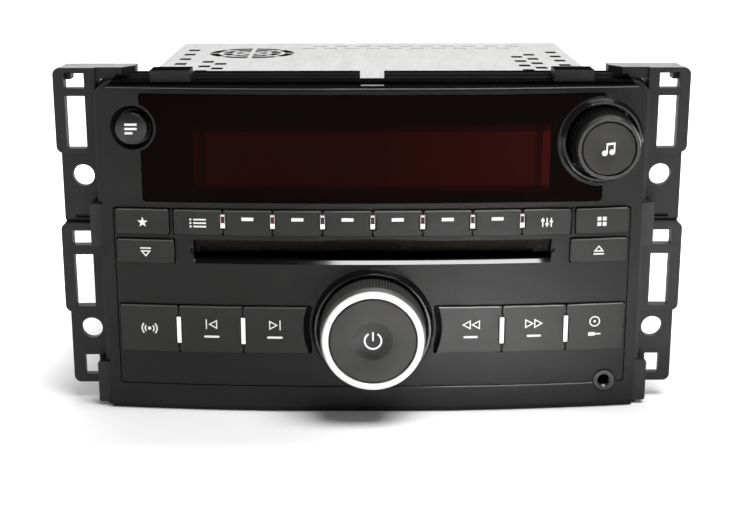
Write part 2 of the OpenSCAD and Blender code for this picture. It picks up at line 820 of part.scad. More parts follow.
// One hollow key: bowed front, stop flange behind the face, and a post for its switch
module push_key(x0, x1, z0, z1, up, down) {
  xm = (x0 + x1) / 2;
  zm = (z0 + z1) / 2;
  color(key_plastic) difference() {
    union() {
      intersection() {
        forward(key_back, far) rounded(x0, x1, z0, z1, key_r);
        bow_solid(key_proud);
      }
      intersection() {
        forward(key_back, far) rounded(x0, x1, z0 - down * key_flange, z1 + up * key_flange, key_r);
        bow_solid(-skin - key_clear);
      }
    }
    difference() {
      intersection() {
        forward(key_back + over, far)
          rounded(x0 + key_wall, x1 - key_wall, z0 + key_wall, z1 - key_wall, 0.5);
        bow_solid(key_proud - key_wall);
      }
      facing(xm, key_back + over, zm) cylinder(r = post_r, h = far);
      forward(key_back + 2 * over, far) disc2d(0, volume_z, volume_key_r + key_wall);
    }
    forward(key_back + over, far) pipe_notches();
    // Curved end beside the volume collar, with the flange reaching further in
    forward(key_back + over, far) disc2d(0, volume_z, volume_rim_r + key_clear + 0.1);
    difference() {
      forward(key_back + over, far) disc2d(0, volume_z, volume_key_r);
      bow_solid(-skin - key_clear);
    }
  }
}

// Cells of the keys: left and right side, lower and upper edge
half_gap = key_gap / 2;
function top_cell(i) = [i * preset_pitch + half_gap, (i + 1) * preset_pitch - half_gap, row_z, row_top];
function low_cell(a, b) = [a, b, low_row_z, low_row_top];
low_inner = sqrt(volume_key_r * volume_key_r - pow(low_row_top - volume_z, 2)) - 1;
cell_favourite = [-key_edge, -outer_key_x, row_z, row_top];
cell_category = [outer_key_x, key_edge, row_z, row_top];
cell_load = [-key_edge, -preset_half, load_z, load_top];
cell_eject = [preset_half, key_edge, load_z, load_top];
cell_band = low_cell(-key_edge, -3 * low_pitch - half_gap);
cell_seek_down = low_cell(-3 * low_pitch + half_gap, -2 * low_pitch - half_gap);
cell_seek_up = low_cell(-2 * low_pitch + half_gap, -low_inner);
cell_rewind = low_cell(low_inner, 2 * low_pitch - half_gap);
cell_forward = low_cell(2 * low_pitch + half_gap, 3 * low_pitch - half_gap);
cell_source = low_cell(3 * low_pitch + half_gap, key_edge);
cells = concat([cell_favourite, cell_category, cell_load, cell_eject, cell_band, cell_seek_down, cell_seek_up,
  cell_rewind, cell_forward, cell_source], [for (i = [-4:3]) top_cell(i)]);

module top_key(i) {
  c = top_cell(i);
  push_key(c[0], c[1], c[2], c[3], 1, 0);
}

module side_key(c, down) {
  push_key(c[0], c[1], c[2], c[3], 1, down);
}

module menu_key() { top_key(-4); }
module preset_key_1() { top_key(-3); }
module preset_key_2() { top_key(-2); }
module preset_key_3() { top_key(-1); }
module preset_key_4() { top_key(0); }
module preset_key_5() { top_key(1); }
module preset_key_6() { top_key(2); }
module tone_key() { top_key(3); }
module favourite_key() { side_key(cell_favourite, 0); }
module category_key() { side_key(cell_category, 0); }
module load_key() { side_key(cell_load, 1); }
module eject_key() { side_key(cell_eject, 1); }
module band_key() { side_key(cell_band, 1); }
module seek_down_key() { side_key(cell_seek_down, 1); }
module seek_up_key() { side_key(cell_seek_up, 1); }
module rewind_key() { side_key(cell_rewind, 1); }
module forward_key() { side_key(cell_forward, 1); }
module source_key() { side_key(cell_source, 1); }

// Round button with a crowned front, a stop flange and a post
module info_button() {
  front = face_y(info_x) - info_proud;
  flange_r = info_r + key_flange;
  stop = key_back - face_y(flange_r - info_x) - dish_depth - dish_back - 0.2;
  color(key_plastic) facing(info_x, key_back, info_z) intersection() {
    rotate_extrude($fn = 96) polygon([[0, 0], [flange_r, 0], [flange_r, stop], [info_r, stop],
      [info_r, key_back - front - 0.5], [info_r - 0.5, key_back - front], [0, key_back - front]]);
    translate([0, 0, key_back - front - info_crown]) sphere(info_crown, $fn = 180);
  }
}

// Flat board behind the keys, cut out for the disc and the audio socket
module front_board() {
  color(board_green) difference() {
    forward(board_back, board_t) difference() {
      rounded(-board_half, board_half, board_bottom, board_top, 2);
      rounded(-slot_w / 2 - 2, slot_w / 2 + 2, lip_z - 1, slot_top + 1.5, 1);
      translate([jack_x - 5, board_bottom - over]) square([far, jack_z + 5 - board_bottom + over]);
    }
  }
}

// Switches under the keys, the info button and the two pushed knobs
module key_switches() {
  color([0.75, 0.73, 0.68]) {
    for (c = cells) key_switch((c[0] + c[1]) / 2, (c[2] + c[3]) / 2);
    key_switch(info_x, info_z);
  }
}

module key_switch(x, z) {
  facing(x, board_front, z) {
    translate([-switch_w / 2, -switch_w / 2, 0]) cube([switch_w, switch_w, switch_h]);
    translate([0, 0, switch_h]) cylinder(r = plunger_r, h = plunger_h);
  }
}

// Fixed encoder: square body, round bush for the knob and a bore for its push stem
module encoder(x, z, w, body_h, bush_r, stem_r, bush_front, bore_back) {
  color([0.55, 0.56, 0.56]) facing(x, board_front, z) difference() {
    union() {
      translate([-w / 2, -w / 2, 0]) cube([w, w, body_h]);
      cylinder(r = bush_r, h = board_front - bush_front);
    }
    translate([0, 0, board_front - bore_back]) cylinder(r = stem_r + 2 * run_gap, h = far);
  }
}

volume_bush_r = 5;
volume_stem_r = 2.5;
volume_bush_front = volume_foot - 10.8;
volume_bore_back = volume_foot - 2.4;
tune_bush_r = 3.5;
tune_stem_r = 1.75;
tune_bush_front = tune_foot - 9;
tune_bore_back = tune_foot - 2;

module volume_encoder() {
  encoder(0, volume_z, volume_encoder_w, encoder_h, volume_bush_r, volume_stem_r, volume_bush_front,
      volume_bore_back);
}

module tune_encoder() {
  encoder(tune_x, tune_z, tune_encoder_w, tune_encoder_h, tune_bush_r, tune_stem_r, tune_bush_front,
    tune_bore_back);
}

// Tapered ring with a ribbed grip, a web and a hub that runs on the encoder's bush
module grip_ring(length, foot_r, front_r, inner_r, bush_r, ribs, lip) {
  valley = front_r - grip_depth;
  hub_r = bush_r + 3;
  difference() {
    union() {
      intersection() {
        cylinder(r1 = foot_r, r2 = front_r, h = length - lip, $fn = 180);
        linear_extrude(length) polygon([for (i = [0:2 * ribs - 1])
            let (r = i % 2 == 0 ? foot_r + 0.4 : valley)
          [r * cos(i * 180 / ribs), r * sin(i * 180 / ribs)]]);
      }
      translate([0, 0, length - lip]) cylinder(r1 = front_r, r2 = front_r - 0.6, h = lip, $fn = 180);
    }
    translate([0, 0, -over]) cylinder(r = inner_r, h = length + 2 * over, $fn = 96);
  }
  translate([0, 0, 3]) difference() {
    union() {
      cylinder(r = inner_r, h = 2, $fn = 96);
      cylinder(r = hub_r, h = 5);
    }
    translate([0, 0, -over]) cylinder(r = bush_r + run_gap, h = far);
  }
}

module volume_ring() {
  color(dark_plastic) facing(0, volume_foot, volume_z)
    grip_ring(volume_foot - volume_front - trim_t, volume_r, volume_front_r, power_r + key_clear,
              volume_bush_r, volume_ribs, 2.6);
}

// Bright ring seated on the front of the volume knob
module volume_trim() {
  color([0.93, 0.93, 0.92]) facing(0, volume_front + trim_t, volume_z) rotate_extrude($fn = 180)
    polygon([[power_r + key_clear, 0], [trim_r, 0], [trim_r, trim_t - 0.4], [trim_r - 0.4, trim_t],
      [power_r + key_clear + 0.2, trim_t], [power_r + key_clear, trim_t - 0.2]]);
}

// Pushed cap with a hollow in its middle and a stem that slides in the encoder
module push_cap(r, cap_h, dimple_r, dimple_depth, stem_r, stem_l) {
  dish_r = (dimple_r * dimple_r + dimple_depth * dimple_depth) / (2 * dimple_depth);
  difference() {
    rotate_extrude($fn = 96) polygon([[0, 0], [r, 0], [r, cap_h - 0.4], [r - 0.4, cap_h], [0, cap_h]]);
    translate([0, 0, cap_h - dimple_depth + dish_r]) sphere(dish_r, $fn = 180);
  }
  translate([0, 0, -stem_l]) cylinder(r = stem_r, h = stem_l + over);
}

module power_button() {
  back = volume_front + power_recess + power_h;
  color(key_plastic) facing(0, back, volume_z) push_cap(power_r, power_h, power_dimple_r, power_dimple,
    volume_stem_r, volume_bore_back - push_travel - 0.5 - back);
}

module tune_ring() {
  color(dark_plastic) facing(tune_x, tune_foot, tune_z)
    grip_ring(tune_foot - tune_front, tune_r, tune_front_r, tone_r + key_clear, tune_bush_r, tune_ribs, 2);
}

module tone_button() {
  back = tune_front + tone_recess + tone_h;
  color(key_plastic) facing(tune_x, back, tune_z) push_cap(tone_r, tone_h, tone_dimple_r, tone_dimple,
    tune_stem_r, tune_bore_back - push_travel - 0.5 - back);
}

// Stereo socket with a round collar, its bore open to the front
module audio_socket() {
  front = face_y(jack_x) - 0.5;
  color([0.12, 0.12, 0.12]) difference() {
    union() {
      facing(jack_x, board_front, jack_z) cylinder(r = jack_collar_r, h = board_front - front);
      facing(jack_x, front + jack_depth + 1.5, jack_z) translate([-4.4, -4.4, 0])
        cube([8.8, 8.8, front + jack_depth + 1.5 - board_front + 3]);
    }
    facing(jack_x, front + jack_depth, jack_z) cylinder(r = jack_bore_r, h = jack_depth + over);
    facing(jack_x, front + 0.6, jack_z) cylinder(r1 = jack_bore_r, r2 = jack_bore_r + 0.6, h = 0.6);
  }
}

// Moulded nosepiece behind the fascia: collar, raised back part, board shelf and snap arms
module carrier_frame() {
  w = carrier_wall;
  color(ear_plastic) difference() {
    union() {
      difference() {
        union() {
          forward(carrier_back, carrier_back - key_back)
            carrier_outline(carrier_top);
          forward(carrier_back, carrier_back - carrier_raise_y)
            carrier_outline(raised_top);
        }
        forward(carrier_back + over, far) rounded(-carrier_half + w, carrier_half - w, w, carrier_top - w, 3);
      }
      // Shelf that the front board is screwed to
      forward(board_back + shelf_t, shelf_t) difference() {
        rounded(-carrier_half + w / 2, carrier_half - w / 2, w / 2, carrier_top - w / 2, 3);
        rounded(-board_half + 6, board_half - 6, board_bottom + 12, board_top - 6, 3);
        translate([jack_x - 6, w]) square([carrier_half - w - jack_x + 6, jack_z + 6 - w]);
      }
      // Rim at the back that the chassis is set against
      forward(carrier_back, rim_t) difference() {
        rounded(-carrier_half + w / 2, carrier_half - w / 2, w / 2, carrier_top - w / 2, 3);
        rounded(-tray_half + rim_lap, tray_half - rim_lap, rim_lap, tray_top - rim_lap, 3);
      }
      snap_arms();
    }
    // Notch and tunnel for the metal tongue
    translate([0, 0, tongue_z - arm_gap]) {
      translate([-tongue_w / 2 - arm_gap, carrier_raise_y - over, 0])
          cube([tongue_w + 2 * arm_gap, far, far]);
      translate([-tongue_w / 2 - arm_gap, key_back - over, 0])
        cube([tongue_w + 2 * arm_gap, carrier_raise_y - key_back + over, 1.2]);
    }
  }
}

// Snap arms over the fascia's top and at its sides
module snap_arms() {
  for (s = [-1, 1]) {
    translate([s * arm_x - top_arm_w / 2, key_back, carrier_top - 1])
      cube([top_arm_w, carrier_raise_y - key_back + 1, 1 + top_arm_h]);
    for (z = [1.3, row_top + 0.7 - arm_w]) side_arm(s, z, 0);
  }
}

module side_arm(s, z, grow) {
  x0 = fascia_w / 2 + 0.2;
  translate([0, -0.2 + grow, 0]) mirror([s < 0 ? 1 : 0, 0, 0]) forward(0, 7.5 - 0.2 + 2 * grow)
    rounded(x0 - grow, x0 + arm_t + grow, z - grow, z + arm_w + grow, 1);
}

module ear_window(z0, z1) {
  translate([window_x, z0]) square([window_w, z1 - z0]);
}

// Outline of a latch box, square where it meets the carrier
module latch_box(z0, z1) {
  rounded(carrier_half, box_x, z0, z1, 2.5);
  translate([carrier_half, z0]) square([ear_w / 2, z1 - z0]);
}

// Mounting ear on the right side: plate, two latch boxes, windows and bolt holes

module ear() {
  upper_z = ear_low_z + ear_hole_z + 8.3;
  lower_z = ear_low_z + 6.7;
  lower_h = 33.3;
  color(ear_plastic) difference() {
    union() {
      forward(ear_t, ear_t) rounded(carrier_half, ear_out, ear_bottom, ear_top, 2.5);
      forward(ear_t, ear_t + box_fwd) latch_box(upper_z, ear_top);
      forward(ear_t, ear_t + box_fwd) latch_box(lower_z, lower_z + lower_h);
      // Flange along the top, reaching inward over the carrier, with the plate's slanted inner end
      translate([0, 0, raised_top + 0.1]) linear_extrude(ear_top - raised_top - 0.1) polygon([
        [box_x - 2.5, 0], [box_x - 2.5, ear_flange], [ear_inner - 4, ear_flange], [ear_inner - 4, 6],
            [ear_inner, 0]]);
      forward(ear_t, ear_t) polygon([[carrier_half + 1, ear_top], [ear_inner, ear_top],
        [ear_inner + 3, carrier_top + 0.2], [carrier_half + 1, carrier_top + 0.2]]);
      // Inner flange against the carrier and a gusset under the top flange
      translate([carrier_half, ear_t - over, ear_bottom + 4])
        cube([1.5, carrier_back - ear_t + over, raised_top - ear_bottom - 4]);
      translate([window_x + window_w - 1.6, ear_t - 0.1, ear_top - 4.6]) cube([3.2, 6, 4]);
    }
    forward(ear_t, 2 * far) {
      ear_window(ear_top - 7.3, ear_top - box_wall);
      ear_window(upper_z + box_wall, ear_top - 9.9);
      ear_window(lower_z + 25, lower_z + 30.4);
      ear_window(lower_z + 2, lower_z + 21.6);
      translate([window_x - 0.1, ear_bottom + 3.1]) square([5.4, 7.6]);
    }
    for (z = [ear_low_z, ear_low_z + ear_hole_z])
      facing(ear_hole_x / 2, ear_t + over, z) cylinder(r = ear_hole_r, h = far, $fn = 64);
    // Two grooves across the plate above the lower box
    translate([carrier_half + 3, -over, lower_z + lower_h + 1.6]) cube([6.4, over + 1.4, 1.2]);
    translate([carrier_half + 2, -over, lower_z + lower_h + 0.1]) cube([far, over + 1.4, 1]);
    for (z = [1.3, row_top + 0.7 - arm_w]) side_arm(1, z, arm_gap);
  }
}

module right_ear() { ear(); }
module left_ear() { mirror([1, 0, 0]) ear(); }

// Folded steel tray: floor, sides, front and back, with the shelves and posts it carries
module chassis_tray() {
  color(steel_grey) {
    difference() {
      translate([-tray_half, tray_front, 0]) cube([2 * tray_half, chassis_back - tray_front, tray_top]);
      translate([-tray_inner, tray_front + sheet, sheet])
        cube([2 * tray_inner, tray_inner_back - tray_front - sheet, far + tray_top]);
      translate([-deck_half - 2, tray_front - over, deck_z - 5])
        cube([2 * deck_half + 4, sheet + 2 * over, disc_z - deck_z + 18]);
      translate([harness_x - harness_w / 2 - 0.3, tray_inner_back - over, main_board_z + board_t - 0.3])
        cube([harness_w + 0.6, sheet + 2 * over, harness_h + 0.6]);
      translate([aerial_x, tray_inner_back - over, aerial_z]) rotate([-90, 0, 0])
        cylinder(r = aerial_out_r + 0.2, h = sheet + 2 * over);
      for (s = [-1, 1], y = screw_places) translate([s * tray_half, y, tray_top - lip_h / 2])
        rotate([0, 90, 0]) cylinder(r = screw_r + 0.1, h = 4 * sheet, center = true);
      // Cooling slots low on both sides
      for (s = [-1, 1], i = [0:6]) translate([s * tray_half - 2, 46 + i * 12, 22]) cube([4, 4, 10]);
    }
    for (s = [-1, 1], y = damper_places)
        translate([s > 0 ? damper_x - 5 : -tray_inner - 0.1, y - 5, deck_z - deck_t - damper_h - 1.6])
      cube([tray_inner - damper_x + 5.1, 10, 1.6]);
    for (x = [-1, 1], y = [tray_front + 12, tray_inner_back - 12])
        translate([x * (tray_inner - 8), y, sheet - 0.1])
      cylinder(r = 3, h = main_board_z - sheet + 0.1);
  }
}

damper_places = [spindle_y - damper_fore, spindle_y + damper_aft];
harness_x = -tray_inner + harness_w + 4.4;
aerial_x = -tray_inner + 14.4;
aerial_z = 62;
aerial_out_r = aerial_r + 1.8;

// Perforated cover with side lips and the tongue that locks the fascia
module top_cover() {
  half = chassis_w / 2;
  color(steel_grey) difference() {
    union() {
      translate([-half, tray_front, tray_top]) cube([2 * half, chassis_back - tray_front, sheet]);
      for (s = [-1, 1]) translate([s > 0 ? half - sheet : -half, tray_front, chassis_h - lip_h])
        cube([sheet, chassis_back - tray_front, lip_h]);
      translate([-tongue_w / 2, tray_front, tray_top]) cube([tongue_w, sheet, tongue_z + sheet - tray_top]);
      translate([-tongue_w / 2, key_back - 2.6, tongue_z])
          cube([tongue_w, tray_front + sheet - key_back + 2.6, sheet]);
    }
    for (s = [-1, 1], y = screw_places) translate([s * half, y, tray_top - lip_h / 2])
      rotate([0, 90, 0]) cylinder(r = screw_r + 0.1, h = 4 * sheet, center = true);
    vent_row(half - 6.4, 68.2, 4, vent_pitch);
    vent_row(half - 16.8, 59.7, 4, vent_pitch);
    vent_row(half - 22.7, 52.3, 4, vent_pitch);
    vent_row(-half + 7.3, 73.1, 4, vent_pitch + 1.5);
    vent_row(-half + 17.7, 50.6, 3, vent_pitch);
    vent_row(-half + 23.4, 43.9, 3, vent_pitch);
    fan_grille();
    // Staggered louvres across the back
    for (i = [0:9], k = [0, 1])
        translate([-30 + i * 9.5 + k * 4.7, chassis_back - 22 + k * 8, tray_top - over])
      cube([6, 1.2, sheet + 2 * over]);
  }
}

module vent_row(x, y, count, pitch) {
  for (i = [0:count - 1]) translate([x - vent_w / 2, y + i * pitch - vent_l / 2, tray_top - over])
    cube([vent_w, vent_l, sheet + 2 * over]);
}

// Ring slots over the fan, parted by diagonal and straight spokes
module fan_grille() {
  translate([fan_x, fan_y, tray_top - over]) difference() {
    for (k = [0:2]) difference() {
      cylinder(r = grille_r - k * 5.6, h = sheet + 2 * over, $fn = 96);
      translate([0, 0, -over])
          cylinder(r = grille_r - k * 5.6 - 5.6 + grille_bar, h = 4 * over + sheet, $fn = 96);
    }
    for (a = [0, 45, 90, 135]) rotate([0, 0, a]) translate([-grille_r - over, -grille_bar / 2, -over])
      cube([2 * grille_r + 2 * over, grille_bar, 4 * over + sheet]);
  }
}

// Pan head screws through the cover's lips
module cover_screws() {
  color([0.7, 0.7, 0.68]) for (s = [-1, 1], y = screw_places)
    translate([s * chassis_w / 2, y, tray_top - lip_h / 2]) rotate([0, s * 90, 0]) difference() {
      union() {
        cylinder(r1 = screw_head_r, r2 = screw_head_r - 0.5, h = screw_head_h);
        translate([0, 0, -screw_l]) cylinder(r = screw_r, h = screw_l + 0.5);
      }
      for (a = [0, 90]) rotate([0, 0, a]) translate([-1.6, -0.3, screw_head_h / 2])
          cube([3.2, 0.6, screw_head_h]);
    }
}

// Finned aluminium block on the back
module heat_sink() {
  pitch = (sink_w - fin_t) / (sink_fins - 1);
  color([0.6, 0.61, 0.62]) translate([chassis_w / 2 - sink_w - 8, chassis_back, sink_z]) {
    cube([sink_w, sink_base, sink_h]);
    for (i = [0:sink_fins - 1]) translate([i * pitch, sink_base - 0.1, 0])
      cube([fin_t, sink_depth - sink_base + 0.1, sink_h]);
  }
}

// Board on the tray's posts with its larger components
module main_board() {
  half = tray_inner - 3;
  color(board_green) {
    translate([-half, tray_front + 5, main_board_z])
        cube([2 * half, tray_inner_back - tray_front - 6, board_t]);
    translate([0, 0, main_board_z + board_t - 0.1]) {
      for (i = [1, 2]) translate([can_r + i * 2.5 * can_r, spindle_y + 5.5 * can_r, 0])
          cylinder(r = can_r, h = can_h);
      translate([-chip_w / 2, spindle_y - chip_w / 2, 0]) cube([chip_w, chip_w, chip_w / 10]);
      translate([1.2 * chip_w, spindle_y - 1.3 * chip_w, 0]) cube([0.7 * chip_w, 0.7 * chip_w, chip_w / 12]);
      translate([-half + 0.6 * tuner_l, spindle_y - 0.9 * tuner_l, 0])
          cube([tuner_l, 0.75 * tuner_l, tuner_h]);
      translate([can_r * 2.75, tray_inner_back - 6.5, 0]) cube([4.5 * can_r, 5, 0.9 * can_h]);
    }
  }
}

// Shrouded wiring socket, open to the back
module harness_connector() {
  wall = harness_wall;
  front = chassis_back + 7.2 - harness_depth;
  color([0.16, 0.16, 0.17]) translate([harness_x - harness_w / 2, front, main_board_z + board_t])
      difference() {
    cube([harness_w, harness_depth, harness_h]);
    translate([wall, harness_depth - 12, wall]) cube([harness_w - 2 * wall, far, harness_h - 2 * wall]);
  }
}

// Aerial socket with a flange behind the back wall
module aerial_socket() {
  color([0.8, 0.78, 0.72]) translate([aerial_x, tray_inner_back, aerial_z]) rotate([-90, 0, 0]) difference() {
    union() {
      translate([0, 0, -2]) cylinder(r = aerial_out_r + 2.5, h = 2);
      translate([0, 0, -2]) cylinder(r = aerial_out_r, h = aerial_depth + 2);
    }
    cylinder(r = aerial_r, h = aerial_depth + over);
  }
}

// Square fan frame under the grille with a bearing pin on four arms
module fan_frame() {
  z0 = tray_top - fan_h;
  bore = fan_w / 2 - 1.8;
  color([0.14, 0.14, 0.14]) translate([fan_x, fan_y, z0]) {
    difference() {
      translate([-fan_w / 2, -fan_w / 2, 0]) cube([fan_w, fan_w, fan_h]);
      translate([0, 0, -over]) cylinder(r = bore, h = fan_h + 2 * over, $fn = 96);
    }
    for (a = [45, 135]) rotate([0, 0, a]) translate([-bore - 1, -1.2, 0]) cube([2 * bore + 2, 2.4, 1.4]);
    cylinder(r = 4, h = 1.4);
    cylinder(r = pivot_r, h = fan_h - 2);
  }
}

// Fan wheel: hub on the pin and pitched blades
module fan_rotor() {
  z0 = tray_top - fan_h + 1.9;
  h = fan_h - 3.4;
  color([0.1, 0.1, 0.1]) translate([fan_x, fan_y, z0]) {
    difference() {
      union() {
        cylinder(r = fan_hub_r, h = h);
        intersection() {
          for (i = [0:fan_blades - 1]) rotate([0, 0, i * 360 / fan_blades])
              translate([fan_hub_r - 1.5, 0, h / 2])
            rotate([38, 0, 0]) translate([0, -4.2, -0.5]) cube([fan_w, 8.4, 1]);
          cylinder(r = fan_w / 2 - 2.6, h = h, $fn = 96);
        }
      }
      translate([0, 0, -over]) cylinder(r = pivot_r + run_gap, h = far);
    }
  }
}

// Mechanism plate with side rails, bearing posts and four damper tabs
module deck_frame() {
  rail_h = disc_z - deck_z + 11;
  color([0.78, 0.78, 0.76]) difference() {
    union() {
      translate([-deck_half, deck_front, deck_z - deck_t])
          cube([2 * deck_half, deck_back - deck_front, deck_t]);
      for (s = [-1, 1]) {
        translate([s > 0 ? deck_half - rail_t : -deck_half, deck_front, deck_z - 0.1])
          cube([rail_t, roller_y + 8 - deck_front, rail_h - 4]);
        translate([s > 0 ? deck_half - rail_t : -deck_half, clamp_y - 9, deck_z - 0.1])
            cube([rail_t, 16, rail_h]);
        translate([s > 0 ? deck_half - rail_t : -deck_half, deck_front, deck_z - 0.1])
          cube([rail_t, deck_back - deck_front, 5]);
        for (y = damper_places) translate([s > 0 ? deck_half - 0.1 : -damper_x - 5, y - 5, deck_z - deck_t])
          cube([damper_x + 5.1 - deck_half, 10, deck_t]);
      }
      for (y = [spindle_y - rod_offset, spindle_y + rod_offset], x = [rod_x0 - post_w, rod_x1 - post_w])
        translate([x, y - 3, deck_z - 0.1]) cube([post_w, 6, rod_z - deck_z + 3]);
      translate([rod_x1 - post_w, screw_y - 3, deck_z - 0.1]) cube([post_w, 6, rod_z - deck_z + 3]);
    }
    translate([0, spindle_y, deck_z - deck_t - over]) cylinder(r = motor_r + 0.3, h = deck_t + 2 * over);
    for (y = [spindle_y - rod_offset, spindle_y + rod_offset]) translate([0, y, rod_z]) rotate([0, 90, 0])
      cylinder(r = pivot_r + 0.02, h = rod_x1);
    translate([rod_x1 - post_w - over, screw_y, rod_z]) rotate([0, 90, 0])
      cylinder(r = 1 + run_gap, h = post_w + over - 0.4);
    for (p = [[roller_y, roller_z], [clamp_y, clamp_z]]) translate([-deck_half - over, p[0], p[1]])
        rotate([0, 90, 0])
      cylinder(r = pivot_r + run_gap, h = 2 * deck_half + 2 * over);
    // Window for the loading gear
    translate([gear_x - 1, roller_y - 9, deck_z - deck_t - over]) cube([gear_w + 2, 18, deck_t + 2 * over]);
    translate([-20, deck_back - 30, deck_z - deck_t - over]) cube([40, 18, deck_t + 2 * over]);
  }
}

// Rubber dampers between the tray's shelves and the mechanism's tabs
module deck_dampers() {
  color([0.2, 0.2, 0.2]) for (s = [-1, 1], y = damper_places)
    translate([s * damper_x, y, deck_z - deck_t - damper_h]) rotate_extrude()
      polygon([[0, 0], [damper_r, 0], [damper_r, 0.3 * damper_h], [damper_r - 1, 0.4 * damper_h],
        [damper_r - 1, 0.6 * damper_h], [damper_r, 0.7 * damper_h], [damper_r, damper_h], [0, damper_h]]);
}

// Involute outline of a spur gear
function inv_angle(r, base) = let (t = sqrt(max(r * r / (base * base) - 1, 0))) t * 180 / PI - atan(t);
module gear_shape(teeth, backlash) {
  pitch_r = gear_module * teeth / 2;
  base = pitch_r * cos(25);
  root = pitch_r - 1.05 * gear_module;
  tip = pitch_r + 0.8 * gear_module;
  half = 90 / teeth - backlash / pitch_r * 90 / PI + inv_angle(pitch_r, base);
  start = max(base, root);
  steps = 4;
  radii = [for (k = [0:steps]) start + (tip - start) * k / steps];
  polygon([for (i = [0:teeth - 1]) let (a = i * 360 / teeth) each concat(
    [root * [cos(a - half), sin(a - half)]],
    [for (r = radii) r * [cos(a - half + inv_angle(r, base)), sin(a - half + inv_angle(r, base))]],
    [for (k = [steps:-1:0]) let (r = radii[k], b = a + half - inv_angle(r, base)) r * [cos(b), sin(b)]],
    [root * [cos(a + half), sin(a + half)]])]);
}

// Drive roller with a waisted rubber sleeve, its shaft and its gear
module loading_roller() {
  half = deck_half - rail_t - 4.8;
  color([0.15, 0.15, 0.15]) translate([0, roller_y, roller_z]) {
    rotate([0, 90, 0]) {
      translate([0, 0, -deck_half]) cylinder(r = pivot_r, h = 2 * deck_half);
      for (s = [0, 1]) mirror([0, 0, s]) cylinder(r1 = roller_r - 1, r2 = roller_r, h = half - 3, $fn = 64);
    }
    translate([gear_x, 0, 0]) rotate([90, 0, 90]) linear_extrude(gear_w) rotate(gear_angle)
        gear_shape(gear_teeth, 0.12);
  }
}

loading_motor_x = gear_x + gear_w + 2;

// Small motor on a foot, driving the roller's gear through its pinion
module loading_motor() {
  r = loading_motor_r;
  length = loading_motor_l;
  color([0.7, 0.7, 0.7]) translate([loading_motor_x, pinion_y, pinion_z]) difference() {
    union() {
      rotate([0, 90, 0]) cylinder(r = r, h = length);
      translate([2, -3, deck_z - pinion_z]) cube([length - 4, 6, pinion_z - deck_z]);
    }
    translate([-over, 0, 0]) rotate([0, 90, 0]) cylinder(r = 0.8 + run_gap, h = 8);
  }
}

module loading_pinion() {
  color([0.9, 0.88, 0.8]) translate([gear_x, pinion_y, pinion_z]) {
    rotate([90, 0, 90]) linear_extrude(gear_w) rotate(gear_angle + 180 + 180 / pinion_teeth)
        gear_shape(pinion_teeth, 0.12);
    rotate([0, 90, 0]) cylinder(r = 0.8, h = gear_w + 7);
  }
}

// Spindle motor let into the mechanism's plate
module spindle_motor() {
  top = disc_z - deck_z - 7;
  color([0.7, 0.7, 0.7]) translate([0, spindle_y, deck_z]) difference() {
    union() {
      translate([0, 0, -6]) cylinder(r = motor_r, h = 6 + top);
      cylinder(r = motor_r + 2, h = 1);
    }
    translate([0, 0, -4]) cylinder(r = pivot_r + run_gap, h = far);
  }
}

// Turntable with its centring hub and the shaft in the motor
module turntable() {
  color([0.25, 0.25, 0.25]) translate([0, spindle_y, disc_z]) rotate_extrude($fn = 96) polygon([
    [0, -14], [pivot_r, -14], [pivot_r, -5], [5, -5], [5, -2.6], [turntable_r, -1.6], [turntable_r, 0],
    [hub_r, 0], [hub_r, 0.8], [hub_r - 0.9, 1.2], [0, 1.2]]);
}

// Two polished rods that guide the pickup
module guide_rods() {
  color([0.85, 0.85, 0.86]) for (s = [-1, 1]) translate([rod_x0 - post_w, spindle_y + s * rod_offset, rod_z])
    rotate([0, 90, 0]) cylinder(r = pivot_r, h = rod_x1 - rod_x0 + post_w);
}

// Pickup carriage with its lens, riding on both rods and on the lead screw
module pickup_sled() {
  y0 = screw_y - 3.4;
  y1 = spindle_y + rod_offset + 3.4;
  color([0.3, 0.3, 0.32]) translate([pickup_x, 0, rod_z]) difference() {
    union() {
      translate([0, y0, -2.8]) cube([pickup_l, y1 - y0, 5.2]);
      translate([pickup_l / 2, spindle_y, 2]) cylinder(r = 5, h = 1.2);
      translate([pickup_l / 2, spindle_y, 2]) cylinder(r = 2.6, h = 2);
    }
    for (s = [-1, 1]) translate([-over, spindle_y + s * rod_offset, 0]) rotate([0, 90, 0])
      cylinder(r = pivot_r + run_gap, h = pickup_l + 2 * over);
    translate([-over, screw_y, 0]) rotate([0, 90, 0]) cylinder(r = 1.9, h = pickup_l + 2 * over);
    translate([3, spindle_y - 12, -3]) cube([pickup_l - 6, 24, 3]);
  }
}

// Lead screw with a plain journal at each end
module lead_screw() {
  color([0.75, 0.72, 0.6]) translate([rod_x0 - post_w, screw_y, rod_z]) rotate([0, 90, 0]) {
    cylinder(r = 1, h = rod_x1 - rod_x0 + post_w - 0.8);
    translate([0, 0, post_w + 0.4]) cylinder(r = 1.6, h = rod_x1 - rod_x0 - post_w - 0.8);
  }
}

// Stepper that turns the lead screw
module sled_motor() {
  length = sled_motor_l;
  r = sled_motor_r;
  color([0.7, 0.7, 0.7]) translate([rod_x0 - length, screw_y, rod_z]) difference() {
    union() {
      rotate([0, 90, 0]) cylinder(r = r, h = length);
      translate([2, -4, deck_z - rod_z]) cube([length - 4, 8, rod_z - deck_z]);
    }
    translate([length - post_w - 0.5, 0, 0]) rotate([0, 90, 0]) cylinder(r = 1 + run_gap, h = far);
  }
}

